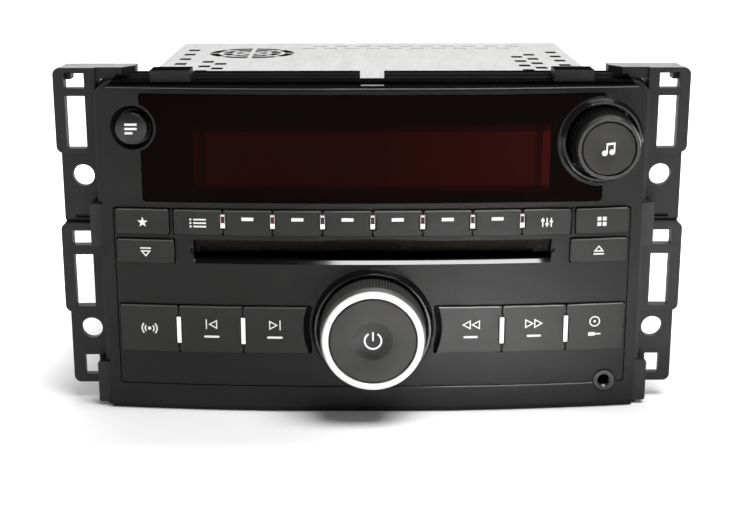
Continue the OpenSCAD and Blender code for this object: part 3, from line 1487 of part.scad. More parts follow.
// Clamp arm: cross bar on two pivots, a tongue forward and the pad over the spindle
module clamp_arm() {
  half = deck_half - rail_t - 0.4;
  color([0.6, 0.6, 0.6]) difference() {
    union() {
      translate([0, clamp_y, clamp_z]) rotate([0, 90, 0]) {
        translate([0, 0, -deck_half]) cylinder(r = pivot_r, h = 2 * deck_half);
        translate([0, 0, -half]) cylinder(r = 3, h = 2 * half);
      }
      translate([-clamp_w / 2, spindle_y, clamp_z - 1]) cube([clamp_w, clamp_y - spindle_y, 1.6]);
      translate([0, spindle_y, clamp_pad_z])
          cylinder(r = clamp_pad_r, h = clamp_z + 0.6 - clamp_pad_z, $fn = 64);
    }
    translate([0, spindle_y, clamp_pad_z - over]) cylinder(r = hub_r + 1.1, h = over + 2.4);
  }
}

fascia();
key_panel();
display_lens();
display_module();
light_pipes();
dust_curtain();
carrier_frame();
left_ear();
right_ear();
front_board();
key_switches();
volume_encoder();
tune_encoder();
audio_socket();
chassis_tray();
top_cover();
cover_screws();
heat_sink();
main_board();
harness_connector();
aerial_socket();
fan_frame();
fan_rotor();
deck_frame();
deck_dampers();
loading_roller();
loading_motor();
loading_pinion();
spindle_motor();
turntable();
guide_rods();
pickup_sled();
lead_screw();
sled_motor();
clamp_arm();
favourite_key();
menu_key();
preset_key_1();
preset_key_2();
preset_key_3();
preset_key_4();
preset_key_5();
preset_key_6();
tone_key();
category_key();
load_key();
eject_key();
band_key();
seek_down_key();
seek_up_key();
rewind_key();
forward_key();
source_key();
info_button();
volume_ring();
volume_trim();
power_button();
tune_ring();
tone_button();
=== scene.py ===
import math
import random
import bpy
import bmesh
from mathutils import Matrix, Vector


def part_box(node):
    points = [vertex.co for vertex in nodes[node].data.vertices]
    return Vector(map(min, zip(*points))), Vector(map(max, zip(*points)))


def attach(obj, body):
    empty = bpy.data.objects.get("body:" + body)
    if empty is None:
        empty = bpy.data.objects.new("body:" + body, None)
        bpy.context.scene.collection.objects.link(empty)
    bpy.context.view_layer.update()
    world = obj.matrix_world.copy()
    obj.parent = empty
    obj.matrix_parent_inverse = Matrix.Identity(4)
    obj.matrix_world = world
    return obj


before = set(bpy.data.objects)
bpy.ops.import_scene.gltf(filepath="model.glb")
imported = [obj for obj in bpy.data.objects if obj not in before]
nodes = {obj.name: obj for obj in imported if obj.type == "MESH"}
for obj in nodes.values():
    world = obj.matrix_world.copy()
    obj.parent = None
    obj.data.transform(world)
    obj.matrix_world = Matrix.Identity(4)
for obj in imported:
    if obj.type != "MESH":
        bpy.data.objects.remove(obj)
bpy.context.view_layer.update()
MM = 0.001

# Places shared with the part's source, in millimetres; pairs are X and Z
BOW_R = 740.0
FACE_Y = -16.0
KEY_PROUD = 1.1
VOLUME = (0.0, 32.2)
VOLUME_FRONT = -32.3
TUNE = (79.9, 98.6)
TUNE_PROUD = 15.0
INFO = (-83.4, 103.5)
INFO_PROUD = 2.6
INFO_DOME_R = 24.0
PRESET_PITCH = 17.5
PRESET_COUNT = 6
SLOT_BOTTOM = 57.2
SLOT_LIP_Z = 55.4
SLOT_HALF = 63.3

PRESET_KEYS = [f"preset_key_{i + 1}" for i in range(PRESET_COUNT)]
TOP_KEYS = ["menu_key", *PRESET_KEYS, "tone_key"]
SIDE_KEYS = ["favourite_key", "category_key", "load_key", "eject_key"]
LOW_KEYS = ["band_key", "seek_down_key", "seek_up_key", "rewind_key", "forward_key", "source_key"]


def face_y(x):
    """Depth of the bowed face."""
    return FACE_Y + BOW_R - math.sqrt(BOW_R * BOW_R - x * x)


TUNE_FRONT = face_y(TUNE[0]) - TUNE_PROUD
INFO_FRONT = face_y(INFO[0]) - INFO_PROUD


# Shader nodes

NOISE_LOW, NOISE_HIGH = 0.3, 0.7
WEAR_SCALE = 3.1
COAT_ROUGH = 0.1
BEVEL_SAMPLES = 4


def node(t, kind, **values):
    """New node with the given values for its sockets or settings."""
    n = t.nodes.new(kind)
    for key, value in values.items():
        if key in n.inputs:
            n.inputs[key].default_value = value
        else:
            setattr(n, key, value)
    return n


def sockets(m):
    return m.node_tree.nodes["Principled BSDF"].inputs


def object_coords(t):
    return node(t, "ShaderNodeTexCoord").outputs["Object"]


def axis_value(t, axis):
    split = node(t, "ShaderNodeSeparateXYZ")
    t.links.new(object_coords(t), split.inputs["Vector"])
    return split.outputs[axis]


def noise(t, coords, scale, detail=4.0, rough=0.55, stretch=None):
    tex = node(t, "ShaderNodeTexNoise", Scale=scale, Detail=detail, Roughness=rough)
    if stretch:
        mapping = node(t, "ShaderNodeMapping", Scale=stretch)
        t.links.new(coords, mapping.inputs["Vector"])
        coords = mapping.outputs["Vector"]
    t.links.new(coords, tex.inputs["Vector"])
    return tex.outputs["Fac"]


def combine(t, operation, *values):
    """Math node on one or two values."""
    n = node(t, "ShaderNodeMath", operation=operation)
    for socket, value in zip(n.inputs, values):
        t.links.new(value, socket)
    return n.outputs["Value"]


def map_range(t, value, start, end, low, high):
    """Value that runs from low to high while another runs from start to end."""
    ends = {"From Min": start, "From Max": end, "To Min": low, "To Max": high}
    n = node(t, "ShaderNodeMapRange", **ends)
    t.links.new(value, n.inputs["Value"])
    return n.outputs["Result"]


def band(t, value, edge, low=0.0, high=1.0):
    """Value that runs from low to high over an edge, which is two places in millimetres."""
    return map_range(t, value, edge[0] * MM, edge[1] * MM, low, high)


def between(t, value, rise, fall, high=1.0):
    """Value that is high between two soft edges and nothing outside them."""
    return combine(t, "MULTIPLY", band(t, value, rise, 0.0, high), band(t, value, fall, 1.0, 0.0))


def ramp(t, value, stops):
    n = node(t, "ShaderNodeValToRGB")
    points = n.color_ramp.elements
    while len(points) < len(stops):
        points.new(0.5)
    for point, (place, color) in zip(points, stops):
        point.position = place
        point.color = (*color, 1.0)
    t.links.new(value, n.inputs["Fac"])
    return n.outputs["Color"]


def two_tone(t, value, dark, light):
    """Colour that a noise value moves between two tones."""
    return ramp(t, value, [(NOISE_LOW, dark), (NOISE_HIGH, light)])


def shade(color, k):
    return tuple(min(1.0, v * k) for v in color)


# Materials

def surface(name, color, rough, metal=0.0, spec=0.5, vary=0.12, vary_scale=90.0, rough_vary=0.06,
            grain=0.06, grain_scale=2600.0, depth=0.02, stretch=None, coat=0.0, edge=0.0):
    """Principled surface with mottled colour, uneven roughness, a fine grain and softly rounded edges."""
    m = bpy.data.materials.new(name)
    m.use_nodes = True
    t = m.node_tree
    inputs = sockets(m)
    coords = object_coords(t)
    mottle = noise(t, coords, vary_scale, detail=5.0, rough=0.6, stretch=stretch)
    t.links.new(two_tone(t, mottle, shade(color, 1 - vary), shade(color, 1 + vary)), inputs["Base Color"])
    wear = noise(t, coords, vary_scale * WEAR_SCALE, detail=4.0, rough=0.6, stretch=stretch)
    uneven = map_range(t, wear, NOISE_LOW, NOISE_HIGH, rough - rough_vary, rough + rough_vary)
    t.links.new(uneven, inputs["Roughness"])
    bump = node(t, "ShaderNodeBump", Strength=grain, Distance=depth * MM)
    fine = noise(t, coords, grain_scale, detail=2.0, rough=0.5, stretch=stretch)
    t.links.new(fine, bump.inputs["Height"])
    if edge:
        bevel = node(t, "ShaderNodeBevel", samples=BEVEL_SAMPLES, Radius=edge * MM)
        t.links.new(bevel.outputs["Normal"], bump.inputs["Normal"])
    t.links.new(bump.outputs["Normal"], inputs["Normal"])
    inputs["Metallic"].default_value = metal
    inputs["Specular IOR Level"].default_value = spec
    inputs["Coat Weight"].default_value = coat
    inputs["Coat Roughness"].default_value = COAT_ROUGH
    return m


def polish(m, spec, rough_limit):
    """Gives a surface a specular level that varies, and keeps its roughness under a limit."""
    t = m.node_tree
    inputs = sockets(m)
    t.links.new(spec, inputs["Specular IOR Level"])
    worn = inputs["Roughness"].links[0].from_socket
    t.links.new(combine(t, "MINIMUM", worn, rough_limit), inputs["Roughness"])


FACE_SPEC = 0.20
FACE_SATIN = {"color": (0.0095, 0.0095, 0.009), "rough": 0.38, "grain": 0.10, "rough_vary": 0.05,
              "spec": FACE_SPEC, "edge": 0.25}
CAP_GRAIN = {"grain": 0.12, "rough_vary": 0.05}
CARRIER_GRAIN = {"rough": 0.44, "grain": 0.35, "grain_scale": 1500.0, "depth": 0.05}
PRINT_WHITE = (0.80, 0.80, 0.79)
# Painted glow: the white print gives off a little light of its own.
PRINT_PAINTED_GLOW = 0.18

M = {
    "face": surface("fascia_satin", **FACE_SATIN),
    "dish": surface("dish_gloss", (0.005, 0.005, 0.0055), rough=0.10, grain=0.01, rough_vary=0.02, spec=0.6,
                    edge=0.6),
    # Painted shade: a darker copy of the fascia finish that reflects nothing, for the fascia's top faces.
    "face_top": surface("fascia_top_painted_shade", (0.005, 0.005, 0.005), rough=0.40, grain=0.10, spec=0.0),
    "info": surface("info_gloss", (0.014, 0.014, 0.0135), rough=0.24, grain=0.05, rough_vary=0.03,
                    spec=0.40, edge=0.5),
    "cap": surface("cap_satin", (0.024, 0.0233, 0.022), rough=0.46, spec=0.28, edge=0.25, **CAP_GRAIN),
    # Painted shade: a darker copy of the cap finish for the hollow in the power cap.
    "cap_hollow": surface("cap_hollow_painted_shade", (0.014, 0.0135, 0.0128), rough=0.40, spec=0.25, **CAP_GRAIN),
    "tone_cap": surface("tone_cap_satin", (0.019, 0.0182, 0.0173), rough=0.46, spec=0.30, edge=0.25,
                        **CAP_GRAIN),
    "knob": surface("knob_rubbed", (0.042, 0.042, 0.039), rough=0.40, grain=0.14, spec=0.35),
    "knob_dark": surface("tune_rubbed", (0.007, 0.007, 0.0066), rough=0.40, grain=0.14, spec=0.16),
    "tune_lip": surface("tune_lip_polish", (0.020, 0.020, 0.019), rough=0.20, grain=0.05, spec=0.55,
                        edge=0.4),
    "knob_lip": surface("knob_lip_polish", (0.34, 0.34, 0.335), rough=0.52, metal=1.0, grain=0.02,
                        rough_vary=0.05, edge=0.5),
    "trim": surface("trim_bright", (0.90, 0.90, 0.89), rough=0.22, vary=0.03, grain=0.02, coat=0.5,
                    spec=0.6),
    "carrier": surface("carrier_grain", (0.018, 0.018, 0.0175), spec=0.28, edge=0.35, **CARRIER_GRAIN),
    # Painted shade: a near-black copy of the carrier finish that reflects nothing, for the carrier's top.
    "carrier_top": surface("carrier_top_painted_shade", (0.004, 0.004, 0.004), vary=0.3, spec=0.0, **CARRIER_GRAIN),
    # Painted sheen: a lighter, glossier copy of the ear finish for the ears' top faces.
    "ear_top": surface("ear_top_painted_sheen", (0.045, 0.045, 0.044), rough=0.18, grain=0.10, grain_scale=1300.0,
                       spec=0.6),
    "ear": surface("ear_grain", (0.014, 0.014, 0.0135), rough=0.40, grain=0.4, grain_scale=1300.0,
                   depth=0.06, spec=0.25, edge=0.4),
    "felt": surface("felt_pile", (0.014, 0.0112, 0.0078), rough=0.95, grain=1.0, grain_scale=5200.0,
                    depth=0.2, vary=0.4, vary_scale=1800.0, spec=0.1),
    "print": surface("print_white", PRINT_WHITE, rough=0.5, vary=0.04, grain=0.05),
    "socket": surface("socket_black", (0.012, 0.012, 0.012), rough=0.18, grain=0.05, edge=0.2),
    "steel": surface("sheet_zinc", (0.56, 0.565, 0.555), rough=0.38, metal=0.45, vary=0.08,
                     vary_scale=160.0, rough_vary=0.10, grain=0.10, grain_scale=900.0,
                     stretch=(1.0, 0.18, 1.0)),
    # Painted shade: dark sheet on the inner faces of the tray and cover, for the dim inside.
    "inside": surface("sheet_painted_shade", (0.012, 0.012, 0.012), rough=0.5, metal=0.2, vary=0.15, grain=0.10,
                      spec=0.1),
    "bright": surface("steel_turned", (0.66, 0.66, 0.65), rough=0.26, metal=1.0, vary=0.08, grain=0.05),
    "alloy": surface("alloy_extruded", (0.52, 0.53, 0.54), rough=0.40, metal=0.9, vary=0.10, grain=0.2,
                     stretch=(1.0, 1.0, 0.05)),
    "tin": surface("tin_plate", (0.62, 0.60, 0.55), rough=0.32, metal=0.9, vary=0.10),
    "mask": surface("board_mask", (0.018, 0.085, 0.045), rough=0.34, vary=0.25, vary_scale=600.0, grain=0.3,
                    grain_scale=1200.0),
    "grey": surface("moulded_grey", (0.40, 0.39, 0.36), rough=0.5, grain=0.1),
    "fan": surface("fan_black", (0.02, 0.02, 0.02), rough=0.42, grain=0.2),
    "rubber": surface("rubber_matt", (0.022, 0.022, 0.022), rough=0.75, grain=0.5, grain_scale=1800.0,
                      depth=0.05),
    "natural": surface("nylon_natural", (0.72, 0.70, 0.62), rough=0.45, grain=0.05),
    "brass": surface("brass_turned", (0.55, 0.43, 0.18), rough=0.28, metal=1.0, grain=0.05),
    "display": surface("display_red", (0.020, 0.004, 0.003), rough=0.45, grain=0.02, grain_scale=120.0,
                       spec=0.05),
    # Painted shade: near black for the deep cuts in the keys round the volume knob.
    "pit": surface("recess_painted_shade", (0.004, 0.004, 0.004), rough=0.6, grain=0.1, spec=0.1),
}
# Painted glow on the print.
sockets(M["print"])["Emission Color"].default_value = (*PRINT_WHITE, 1.0)
sockets(M["print"])["Emission Strength"].default_value = PRINT_PAINTED_GLOW


def lens_finish():
    """Dark red lens with painted glow: the unlit display behind it is painted onto the lens as a faint
    emissive window, brighter to the right, with strips at its ends.
    """
    window_bottom, window_top = (83.0, 83.8), (102.2, 103.0)
    border_bottom, border_top, border_level = (80.5, 82.5), (104.0, 105.5), 0.3
    left_end, right_end = (-62.5, -62.0), (61.5, 62.0)
    glow_rise, glow_left = (-5.0, 45.0), 0.42
    left_gap_start, left_gap_end = (-60.3, -59.8), (-58.4, -57.6)
    left_strip_level, left_gap_level = 0.85, 0.35
    right_gap_start, right_gap_end, right_gap_level = (55.8, 57.0), (58.6, 59.0), 0.5
    right_strip_start, right_strip_level = (58.8, 59.2), 1.7
    glow_dark, glow_light, glow_scale = (0.0206, 0.0020, 0.0012), (0.0228, 0.0022, 0.0013), 160.0
    m = surface("lens_red", (0.0020, 0.0002, 0.00015), rough=0.06, vary=0.10, grain=0.004, grain_scale=90.0,
                rough_vary=0.01, spec=0.020, edge=0.25)
    t = m.node_tree
    x, z = axis_value(t, "X"), axis_value(t, "Z")
    window = between(t, z, window_bottom, window_top)
    border = between(t, z, border_bottom, border_top, border_level)
    painted_glow = band(t, x, glow_rise, glow_left, 1.0)
    painted_glow = combine(t, "MAXIMUM", painted_glow, band(t, x, right_strip_start, 0.0, right_strip_level))
    lit = combine(t, "MULTIPLY", combine(t, "MAXIMUM", window, border), painted_glow)
    left_strip = band(t, x, left_gap_start, left_strip_level, left_gap_level)
    left = combine(t, "MAXIMUM", band(t, x, left_gap_end, left_gap_level, 1.0), left_strip)
    right = band(t, x, right_gap_start, 1.0, right_gap_level)
    right = combine(t, "MAXIMUM", right, band(t, x, right_gap_end))
    gaps = combine(t, "MULTIPLY", combine(t, "MULTIPLY", left, right), between(t, x, left_end, right_end))
    # Painted glow: this emission stands in for the display seen through the lens.
    t.links.new(combine(t, "MULTIPLY", lit, gaps), sockets(m)["Emission Strength"])
    grain = noise(t, object_coords(t), glow_scale)
    t.links.new(two_tone(t, grain, glow_dark, glow_light), sockets(m)["Emission Color"])
    return m


def pipe_finish():
    """Clear light pipes: white foot, painted highlights as a faint outline and a glint at the tip, dark red
    core; lower bars white inside a dark edge; all with a painted glow.
    """
    white, core = (0.86, 0.86, 0.85), (0.030, 0.008, 0.007)
    darker, lighter, tone_scale, painted_glow = 0.9, 1.08, 400.0, 0.35
    foot_bottom, foot_top, foot_side = (68.55, 68.7), (70.25, 70.4), (0.70, 0.80)
    line_inside, line_outside, edge_highlight_level = (0.55, 0.65), (0.80, 0.88), 0.35
    tip_bottom, tip_top, tip_side, tip_highlight_level = (72.7, 72.85), (73.3, 73.45), (0.45, 0.60), 0.8
    upper_start = (60.0, 61.0)
    inner_bar = ((45.40, 45.50), (46.89, 46.99))
    outer_bar = ((68.50, 68.60), (69.99, 70.09))
    bar_bottom, bar_top = (25.9, 26.1), (35.6, 35.8)
    factor_socket, core_socket, white_socket, color_output = 0, 6, 7, 2
    m = surface("pipe_clear", white, rough=0.12, grain=0.02, spec=0.25)
    t = m.node_tree
    x, z = axis_value(t, "X"), axis_value(t, "Z")
    beside = node(t, "ShaderNodeMath", operation="PINGPONG")
    t.links.new(x, beside.inputs[0])
    beside.inputs[1].default_value = PRESET_PITCH / 2 * MM
    near = beside.outputs["Value"]
    foot = combine(t, "MULTIPLY", between(t, z, foot_bottom, foot_top), band(t, near, foot_side, 1.0, 0.0))
    # Painted highlights: a thin light outline along each pipe's edges and a glint at its tip.
    line = between(t, near, line_inside, line_outside, edge_highlight_level)
    tip = between(t, z, tip_bottom, tip_top, tip_highlight_level)
    tip = combine(t, "MULTIPLY", tip, band(t, near, tip_side, 1.0, 0.0))
    upper = combine(t, "MULTIPLY", combine(t, "MAXIMUM", line, tip), band(t, z, upper_start))
    side = combine(t, "ABSOLUTE", x)
    low = combine(t, "MAXIMUM", between(t, side, *inner_bar), between(t, side, *outer_bar))
    low = combine(t, "MULTIPLY", low, between(t, z, bar_bottom, bar_top))
    bright = combine(t, "MAXIMUM", combine(t, "MAXIMUM", foot, upper), low)
    mix = node(t, "ShaderNodeMix", data_type="RGBA")
    t.links.new(bright, mix.inputs[factor_socket])
    grain = noise(t, object_coords(t), tone_scale)
    for socket, color in ((core_socket, core), (white_socket, white)):
        t.links.new(two_tone(t, grain, shade(color, darker), shade(color, lighter)), mix.inputs[socket])
    t.links.new(mix.outputs[color_output], sockets(m)["Base Color"])
    t.links.new(mix.outputs[color_output], sockets(m)["Emission Color"])
    # Painted glow: the pipes give off a little light of their own colour.
    sockets(m)["Emission Strength"].default_value = painted_glow
    return m


def fascia_finish():
    """Satin fascia, shaded in the strip above the lens, with polished edges at its top and foot."""
    strip_start, strip_end, strip_spec = (115.0, 115.6), (116.5, 116.9), 0.10
    strip_side = (66.0, 86.0)
    foot_bottom, foot_top = (9.25, 9.35), (9.85, 9.95)
    foot_left, foot_right = (0.0, 30.0), (86.0, 89.0)
    top_edge = (117.2, 117.3)
    satin_rough, polish_rough = 0.5, 0.10
    m = surface("fascia_front", **FACE_SATIN)
    t = m.node_tree
    x, z = axis_value(t, "X"), axis_value(t, "Z")
    strip = band(t, z, strip_start, FACE_SPEC, strip_spec)
    strip = combine(t, "MULTIPLY", strip, band(t, z, strip_end, 1.0, 0.0))
    sides = band(t, combine(t, "ABSOLUTE", x), strip_side, 0.0, FACE_SPEC)
    foot = between(t, z, foot_bottom, foot_top)
    foot = combine(t, "MULTIPLY", foot, between(t, x, foot_left, foot_right))
    edge = combine(t, "MAXIMUM", band(t, z, top_edge), foot)
    spec = combine(t, "MAXIMUM", combine(t, "MAXIMUM", strip, sides), edge)
    polish(m, spec, map_range(t, edge, 0.0, 1.0, satin_rough, polish_rough))
    return m


def lip_finish():
    """Polished lower part of the slot's lip, under a plain dark upper part."""
    polish_end, polish_spec = (56.5, 56.65), 0.8
    m = surface("lip_polish", (0.003, 0.003, 0.003), rough=0.08, grain=0.004, rough_vary=0.01,
                spec=polish_spec)
    t = m.node_tree
    t.links.new(band(t, axis_value(t, "Z"), polish_end, polish_spec, 0.0), sockets(m)["Specular IOR Level"])
    return m


def key_finish(name, top):
    """Satin key with a polished edge along its top."""
    edge = (top - 0.45, top - 0.35)
    satin_spec, polish_spec = 0.25, 1.0
    satin_rough, polish_rough = 0.5, 0.2
    m = surface(name, (0.016, 0.016, 0.015), rough=0.38, grain=0.12, rough_vary=0.05, spec=satin_spec,
                edge=0.45)
    t = m.node_tree
    z = axis_value(t, "Z")
    polish(m, band(t, z, edge, satin_spec, polish_spec), band(t, z, edge, satin_rough, polish_rough))
    return m


# Visible tops of the three rows of keys, and the heights that part the rows
UPPER_KEY_TOP, SIDE_KEY_TOP, LOW_KEY_TOP = 75.0, 64.0, 39.9
UPPER_ROW_Z, SIDE_ROW_Z = 70.0, 50.0

M["lens"] = lens_finish()
M["pipe"] = pipe_finish()
M["fascia"] = fascia_finish()
M["lip"] = lip_finish()
M["key_upper"] = key_finish("key_satin_upper", UPPER_KEY_TOP)
M["key_side"] = key_finish("key_satin_side", SIDE_KEY_TOP)
M["key_low"] = key_finish("key_satin_low", LOW_KEY_TOP)

FINISH = {
    "fascia": "fascia", "key_panel": "face", "display_lens": "lens", "display_module": "display",
    "light_pipes": "pipe", "dust_curtain": "felt", "carrier_frame": "carrier", "left_ear": "ear",
    "right_ear": "ear", "front_board": "mask", "key_switches": "grey", "volume_encoder": "tin",
    "tune_encoder": "tin", "audio_socket": "socket", "chassis_tray": "steel", "top_cover": "steel",
    "cover_screws": "bright", "heat_sink": "alloy", "main_board": "mask", "harness_connector": "socket",
    "aerial_socket": "tin", "fan_frame": "fan", "fan_rotor": "fan", "deck_frame": "steel",
    "deck_dampers": "rubber", "loading_roller": "rubber", "loading_motor": "bright",
    "loading_pinion": "natural", "spindle_motor": "bright", "turntable": "fan", "guide_rods": "bright",
    "pickup_sled": "fan", "lead_screw": "brass", "sled_motor": "bright", "clamp_arm": "steel",
    "info_button": "info", "volume_ring": "knob", "volume_trim": "trim", "power_button": "cap",
    "tune_ring": "knob_dark", "tone_button": "tone_cap",
}
for k in TOP_KEYS + SIDE_KEYS + LOW_KEYS:
    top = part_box(k)[1].z / MM
    FINISH[k] = "key_upper" if top > UPPER_ROW_Z else "key_side" if top > SIDE_ROW_Z else "key_low"


# Finishes on the CAD nodes

def soft_normals():
    """Joins the split corners of a mesh and shades it smooth, with every larger turn kept sharp."""
    join_distance, sharp_turn = 2e-6, math.radians(30)
    g = bpy.data.node_groups.new("soft_normals", "GeometryNodeTree")
    g.interface.new_socket("Geometry", in_out="INPUT", socket_type="NodeSocketGeometry")
    g.interface.new_socket("Geometry", in_out="OUTPUT", socket_type="NodeSocketGeometry")
    start, end = node(g, "NodeGroupInput"), node(g, "NodeGroupOutput")
    join = node(g, "GeometryNodeMergeByDistance", Distance=join_distance)
    smooth = node(g, "GeometryNodeSetShadeSmooth", domain="FACE")
    sharp = node(g, "GeometryNodeSetShadeSmooth", domain="EDGE")
    sharp.inputs["Shade Smooth"].default_value = False
    turn = node(g, "FunctionNodeCompare", data_type="FLOAT", operation="GREATER_THAN")
    turn.inputs[1].default_value = sharp_turn
    g.links.new(node(g, "GeometryNodeInputMeshEdgeAngle").outputs["Unsigned Angle"], turn.inputs[0])
    g.links.new(start.outputs[0], join.inputs["Geometry"])
    g.links.new(join.outputs["Geometry"], smooth.inputs["Geometry"])
    g.links.new(smooth.outputs["Geometry"], sharp.inputs["Geometry"])
    g.links.new(turn.outputs["Result"], sharp.inputs["Selection"])
    g.links.new(sharp.outputs["Geometry"], end.inputs[0])
    return g


SOFT = soft_normals()
for name, finish in FINISH.items():
    nodes[name].data.materials.clear()
    nodes[name].data.materials.append(M[finish])
    nodes[name].modifiers.new("soft_normals", "NODES").node_group = SOFT


def patch(name, finish, test):
    """Gives another finish to the faces that a test picks by their centre, in millimetres, and normal."""
    me = nodes[name].data
    me.materials.append(M[finish])
    at = len(me.materials) - 1
    for p in me.polygons:
        if test(p.center / MM, p.normal):
            p.material_index = at


# Bounds of the patches, in millimetres; a facing is the least part of a normal that points one way
FACING, FACING_UP, FACING_LIP = 0.5, 0.7, 0.1
TUNE_COLLAR_R = 15.1
INFO_DISH_R, INFO_DISH_LEFT = 7.65, 3.5
VOLUME_COLLAR_R = 21.9
POWER_HOLLOW_R, POWER_HOLLOW_DEPTH = 6.9, 0.42
EAR_TOP_Z = 122.0
LIP_SIDE_ROOM, LIP_ROOM_BELOW, LIP_ROOM_ABOVE = 0.1, 0.05, 1.0
VOLUME_LIP_R, VOLUME_LIP_DEPTH = 17.0, 3.75
TUNE_CAP_R, TUNE_LIP_DEPTH = 9.6, 2.0
KEY_CUT_R = 24.55
COVER_FLANGE_Z, COVER_TOP_Z = 114.0, 113.5
COVER_FRONT_Y, COVER_BACK_Y, COVER_HALF = 13.0, 149.0, 83.0
FASCIA_TOP_Z = 116.5
CARRIER_TOP_Z, CARRIER_FRONT_Z, CARRIER_HALF = 116.0, 119.0, 90.0
TRAY_WALL_X, TRAY_FLOOR_Z, TRAY_BACK_Y = 20.0, 20.0, 100.0


def from_axis(c, axis):
    return math.hypot(c.x - axis[0], c.z - axis[1])


def on_fascia_dish(c, n):
    # The info dish's left side keeps the lighter satin face finish, a painted reflection on that side.
    in_info_dish = from_axis(c, INFO) < INFO_DISH_R and c.x > INFO[0] - INFO_DISH_LEFT
    return from_axis(c, TUNE) < TUNE_COLLAR_R or in_info_dish


def on_volume_collar(c, n):
    return from_axis(c, VOLUME) < VOLUME_COLLAR_R


def in_power_hollow(c, n):
    return c.y > VOLUME_FRONT + POWER_HOLLOW_DEPTH and from_axis(c, VOLUME) < POWER_HOLLOW_R


def on_ear_top(c, n):
    return n.z > FACING_UP and c.z > EAR_TOP_Z


def on_slot_lip(c, n):
    in_height = SLOT_LIP_Z - LIP_ROOM_BELOW < c.z < SLOT_BOTTOM + LIP_ROOM_ABOVE
    return abs(c.x) < SLOT_HALF + LIP_SIDE_ROOM and in_height and n.z > FACING_LIP


def on_volume_lip(c, n):
    return c.y < VOLUME_FRONT + VOLUME_LIP_DEPTH and from_axis(c, VOLUME) > VOLUME_LIP_R


def on_tune_lip(c, n):
    return c.y < TUNE_FRONT + TUNE_LIP_DEPTH and from_axis(c, TUNE) >= TUNE_CAP_R


def in_key_cut(c, n):
    return n.y < -FACING and from_axis(c, VOLUME) < KEY_CUT_R


def inside_cover(c, n):
    in_flange = c.z < COVER_FLANGE_Z and n.x * c.x < 0
    in_opening = COVER_FRONT_Y < c.y < COVER_BACK_Y and abs(c.x) < COVER_HALF
    on_cut_edge = abs(n.z) < FACING and c.z > COVER_TOP_Z and in_opening
    return n.z < -FACING or in_flange or on_cut_edge


def on_fascia_top(c, n):
    return n.z > FACING_UP and c.z > FASCIA_TOP_Z


def on_carrier_top(c, n):
    on_front = n.y < -FACING and c.z < CARRIER_FRONT_Z
    return c.z > CARRIER_TOP_Z and abs(c.x) < CARRIER_HALF and (n.z > FACING_UP or on_front)


def inside_tray(c, n):
    on_floor = n.z > FACING and c.z < TRAY_FLOOR_Z
    on_back = n.y < -FACING and c.y > TRAY_BACK_Y
    return n.x * c.x < -TRAY_WALL_X or on_floor or on_back


patch("fascia", "dish", on_fascia_dish)
patch("key_panel", "dish", on_volume_collar)
# The hollow in the power cap gets painted shade.
patch("power_button", "cap_hollow", in_power_hollow)
# The ears' top faces get a painted sheen.
patch("left_ear", "ear_top", on_ear_top)
patch("right_ear", "ear_top", on_ear_top)
patch("key_panel", "lip", on_slot_lip)
patch("volume_ring", "knob_lip", on_volume_lip)
patch("tune_ring", "tune_lip", on_tune_lip)
# The cuts in these keys round the volume knob get painted shade.
patch("seek_up_key", "pit", in_key_cut)
patch("rewind_key", "pit", in_key_cut)
# The inner faces of the top cover get painted shade.
patch("top_cover", "inside", inside_cover)
# The fascia's top faces get painted shade.
patch("fascia", "face_top", on_fascia_top)
# The carrier's top and the front below it get painted shade.
patch("carrier_frame", "carrier_top", on_carrier_top)
# The inner faces of the tray get painted shade.
patch("chassis_tray", "inside", inside_tray)


# Flat shapes of the printed signs, as lists of outlines in X and Z

def circle(x, z, r, count):
    angles = [2 * math.pi * i / count for i in range(count)]
    return [[(x + r * math.cos(a), z + r * math.sin(a)) for a in angles]]


def arc(x, z, r, w, start, end, count):
    """Ring stroke of width w between two angles in degrees, in short parts."""
    quads = []
    for i in range(count):
        a, b = (math.radians(start + (end - start) * (i + k) / count) for k in (0, 1))
        corners = ((r - w / 2, a), (r + w / 2, a), (r + w / 2, b), (r - w / 2, b))
        quads.append([(x + s * math.cos(t), z + s * math.sin(t)) for s, t in corners])
    return quads


def bar(x0, z0, x1, z1, w, parts=1):
    """Straight stroke of one width, in several parts where it follows a curved front."""
    length = math.hypot(x1 - x0, z1 - z0)
    ux, uz = (x1 - x0) / length, (z1 - z0) / length
    px, pz = -uz * w / 2, ux * w / 2
    ends = [(x0 + ux * length * i / parts, z0 + uz * length * i / parts) for i in range(parts + 1)]
    return [[(ax + px, az + pz), (ax - px, az - pz), (bx - px, bz - pz), (bx + px, bz + pz)]
            for (ax, az), (bx, bz) in zip(ends, ends[1:])]


def level_bar(x0, x1, z, w, parts=1):
    return bar(x0, z, x1, z, w, parts)


def upright_bar(x, z0, z1, w, parts=1):
    return bar(x, z0, x, z1, w, parts)


def loop(points, w):
    """Outline of a closed polygon, drawn inside its corners."""
    least_cosine = 0.25
    n = len(points)
    cx = sum(p[0] for p in points) / n
    cz = sum(p[1] for p in points) / n
    inner = []
    for i, p in enumerate(points):
        a, b = points[i - 1], points[(i + 1) % n]
        u = Vector((p[0] - a[0], p[1] - a[1])).normalized()
        v = Vector((b[0] - p[0], b[1] - p[1])).normalized()
        nu, nv = Vector((-u.y, u.x)), Vector((-v.y, v.x))
        if nu.dot(Vector((cx - p[0], cz - p[1]))) < 0:
            nu, nv = -nu, -nv
        m = (nu + nv).normalized()
        k = w / max(least_cosine, m.dot(nu))
        inner.append((p[0] + m.x * k, p[1] + m.y * k))
    return [[points[i], points[(i + 1) % n], inner[(i + 1) % n], inner[i]] for i in range(n)]


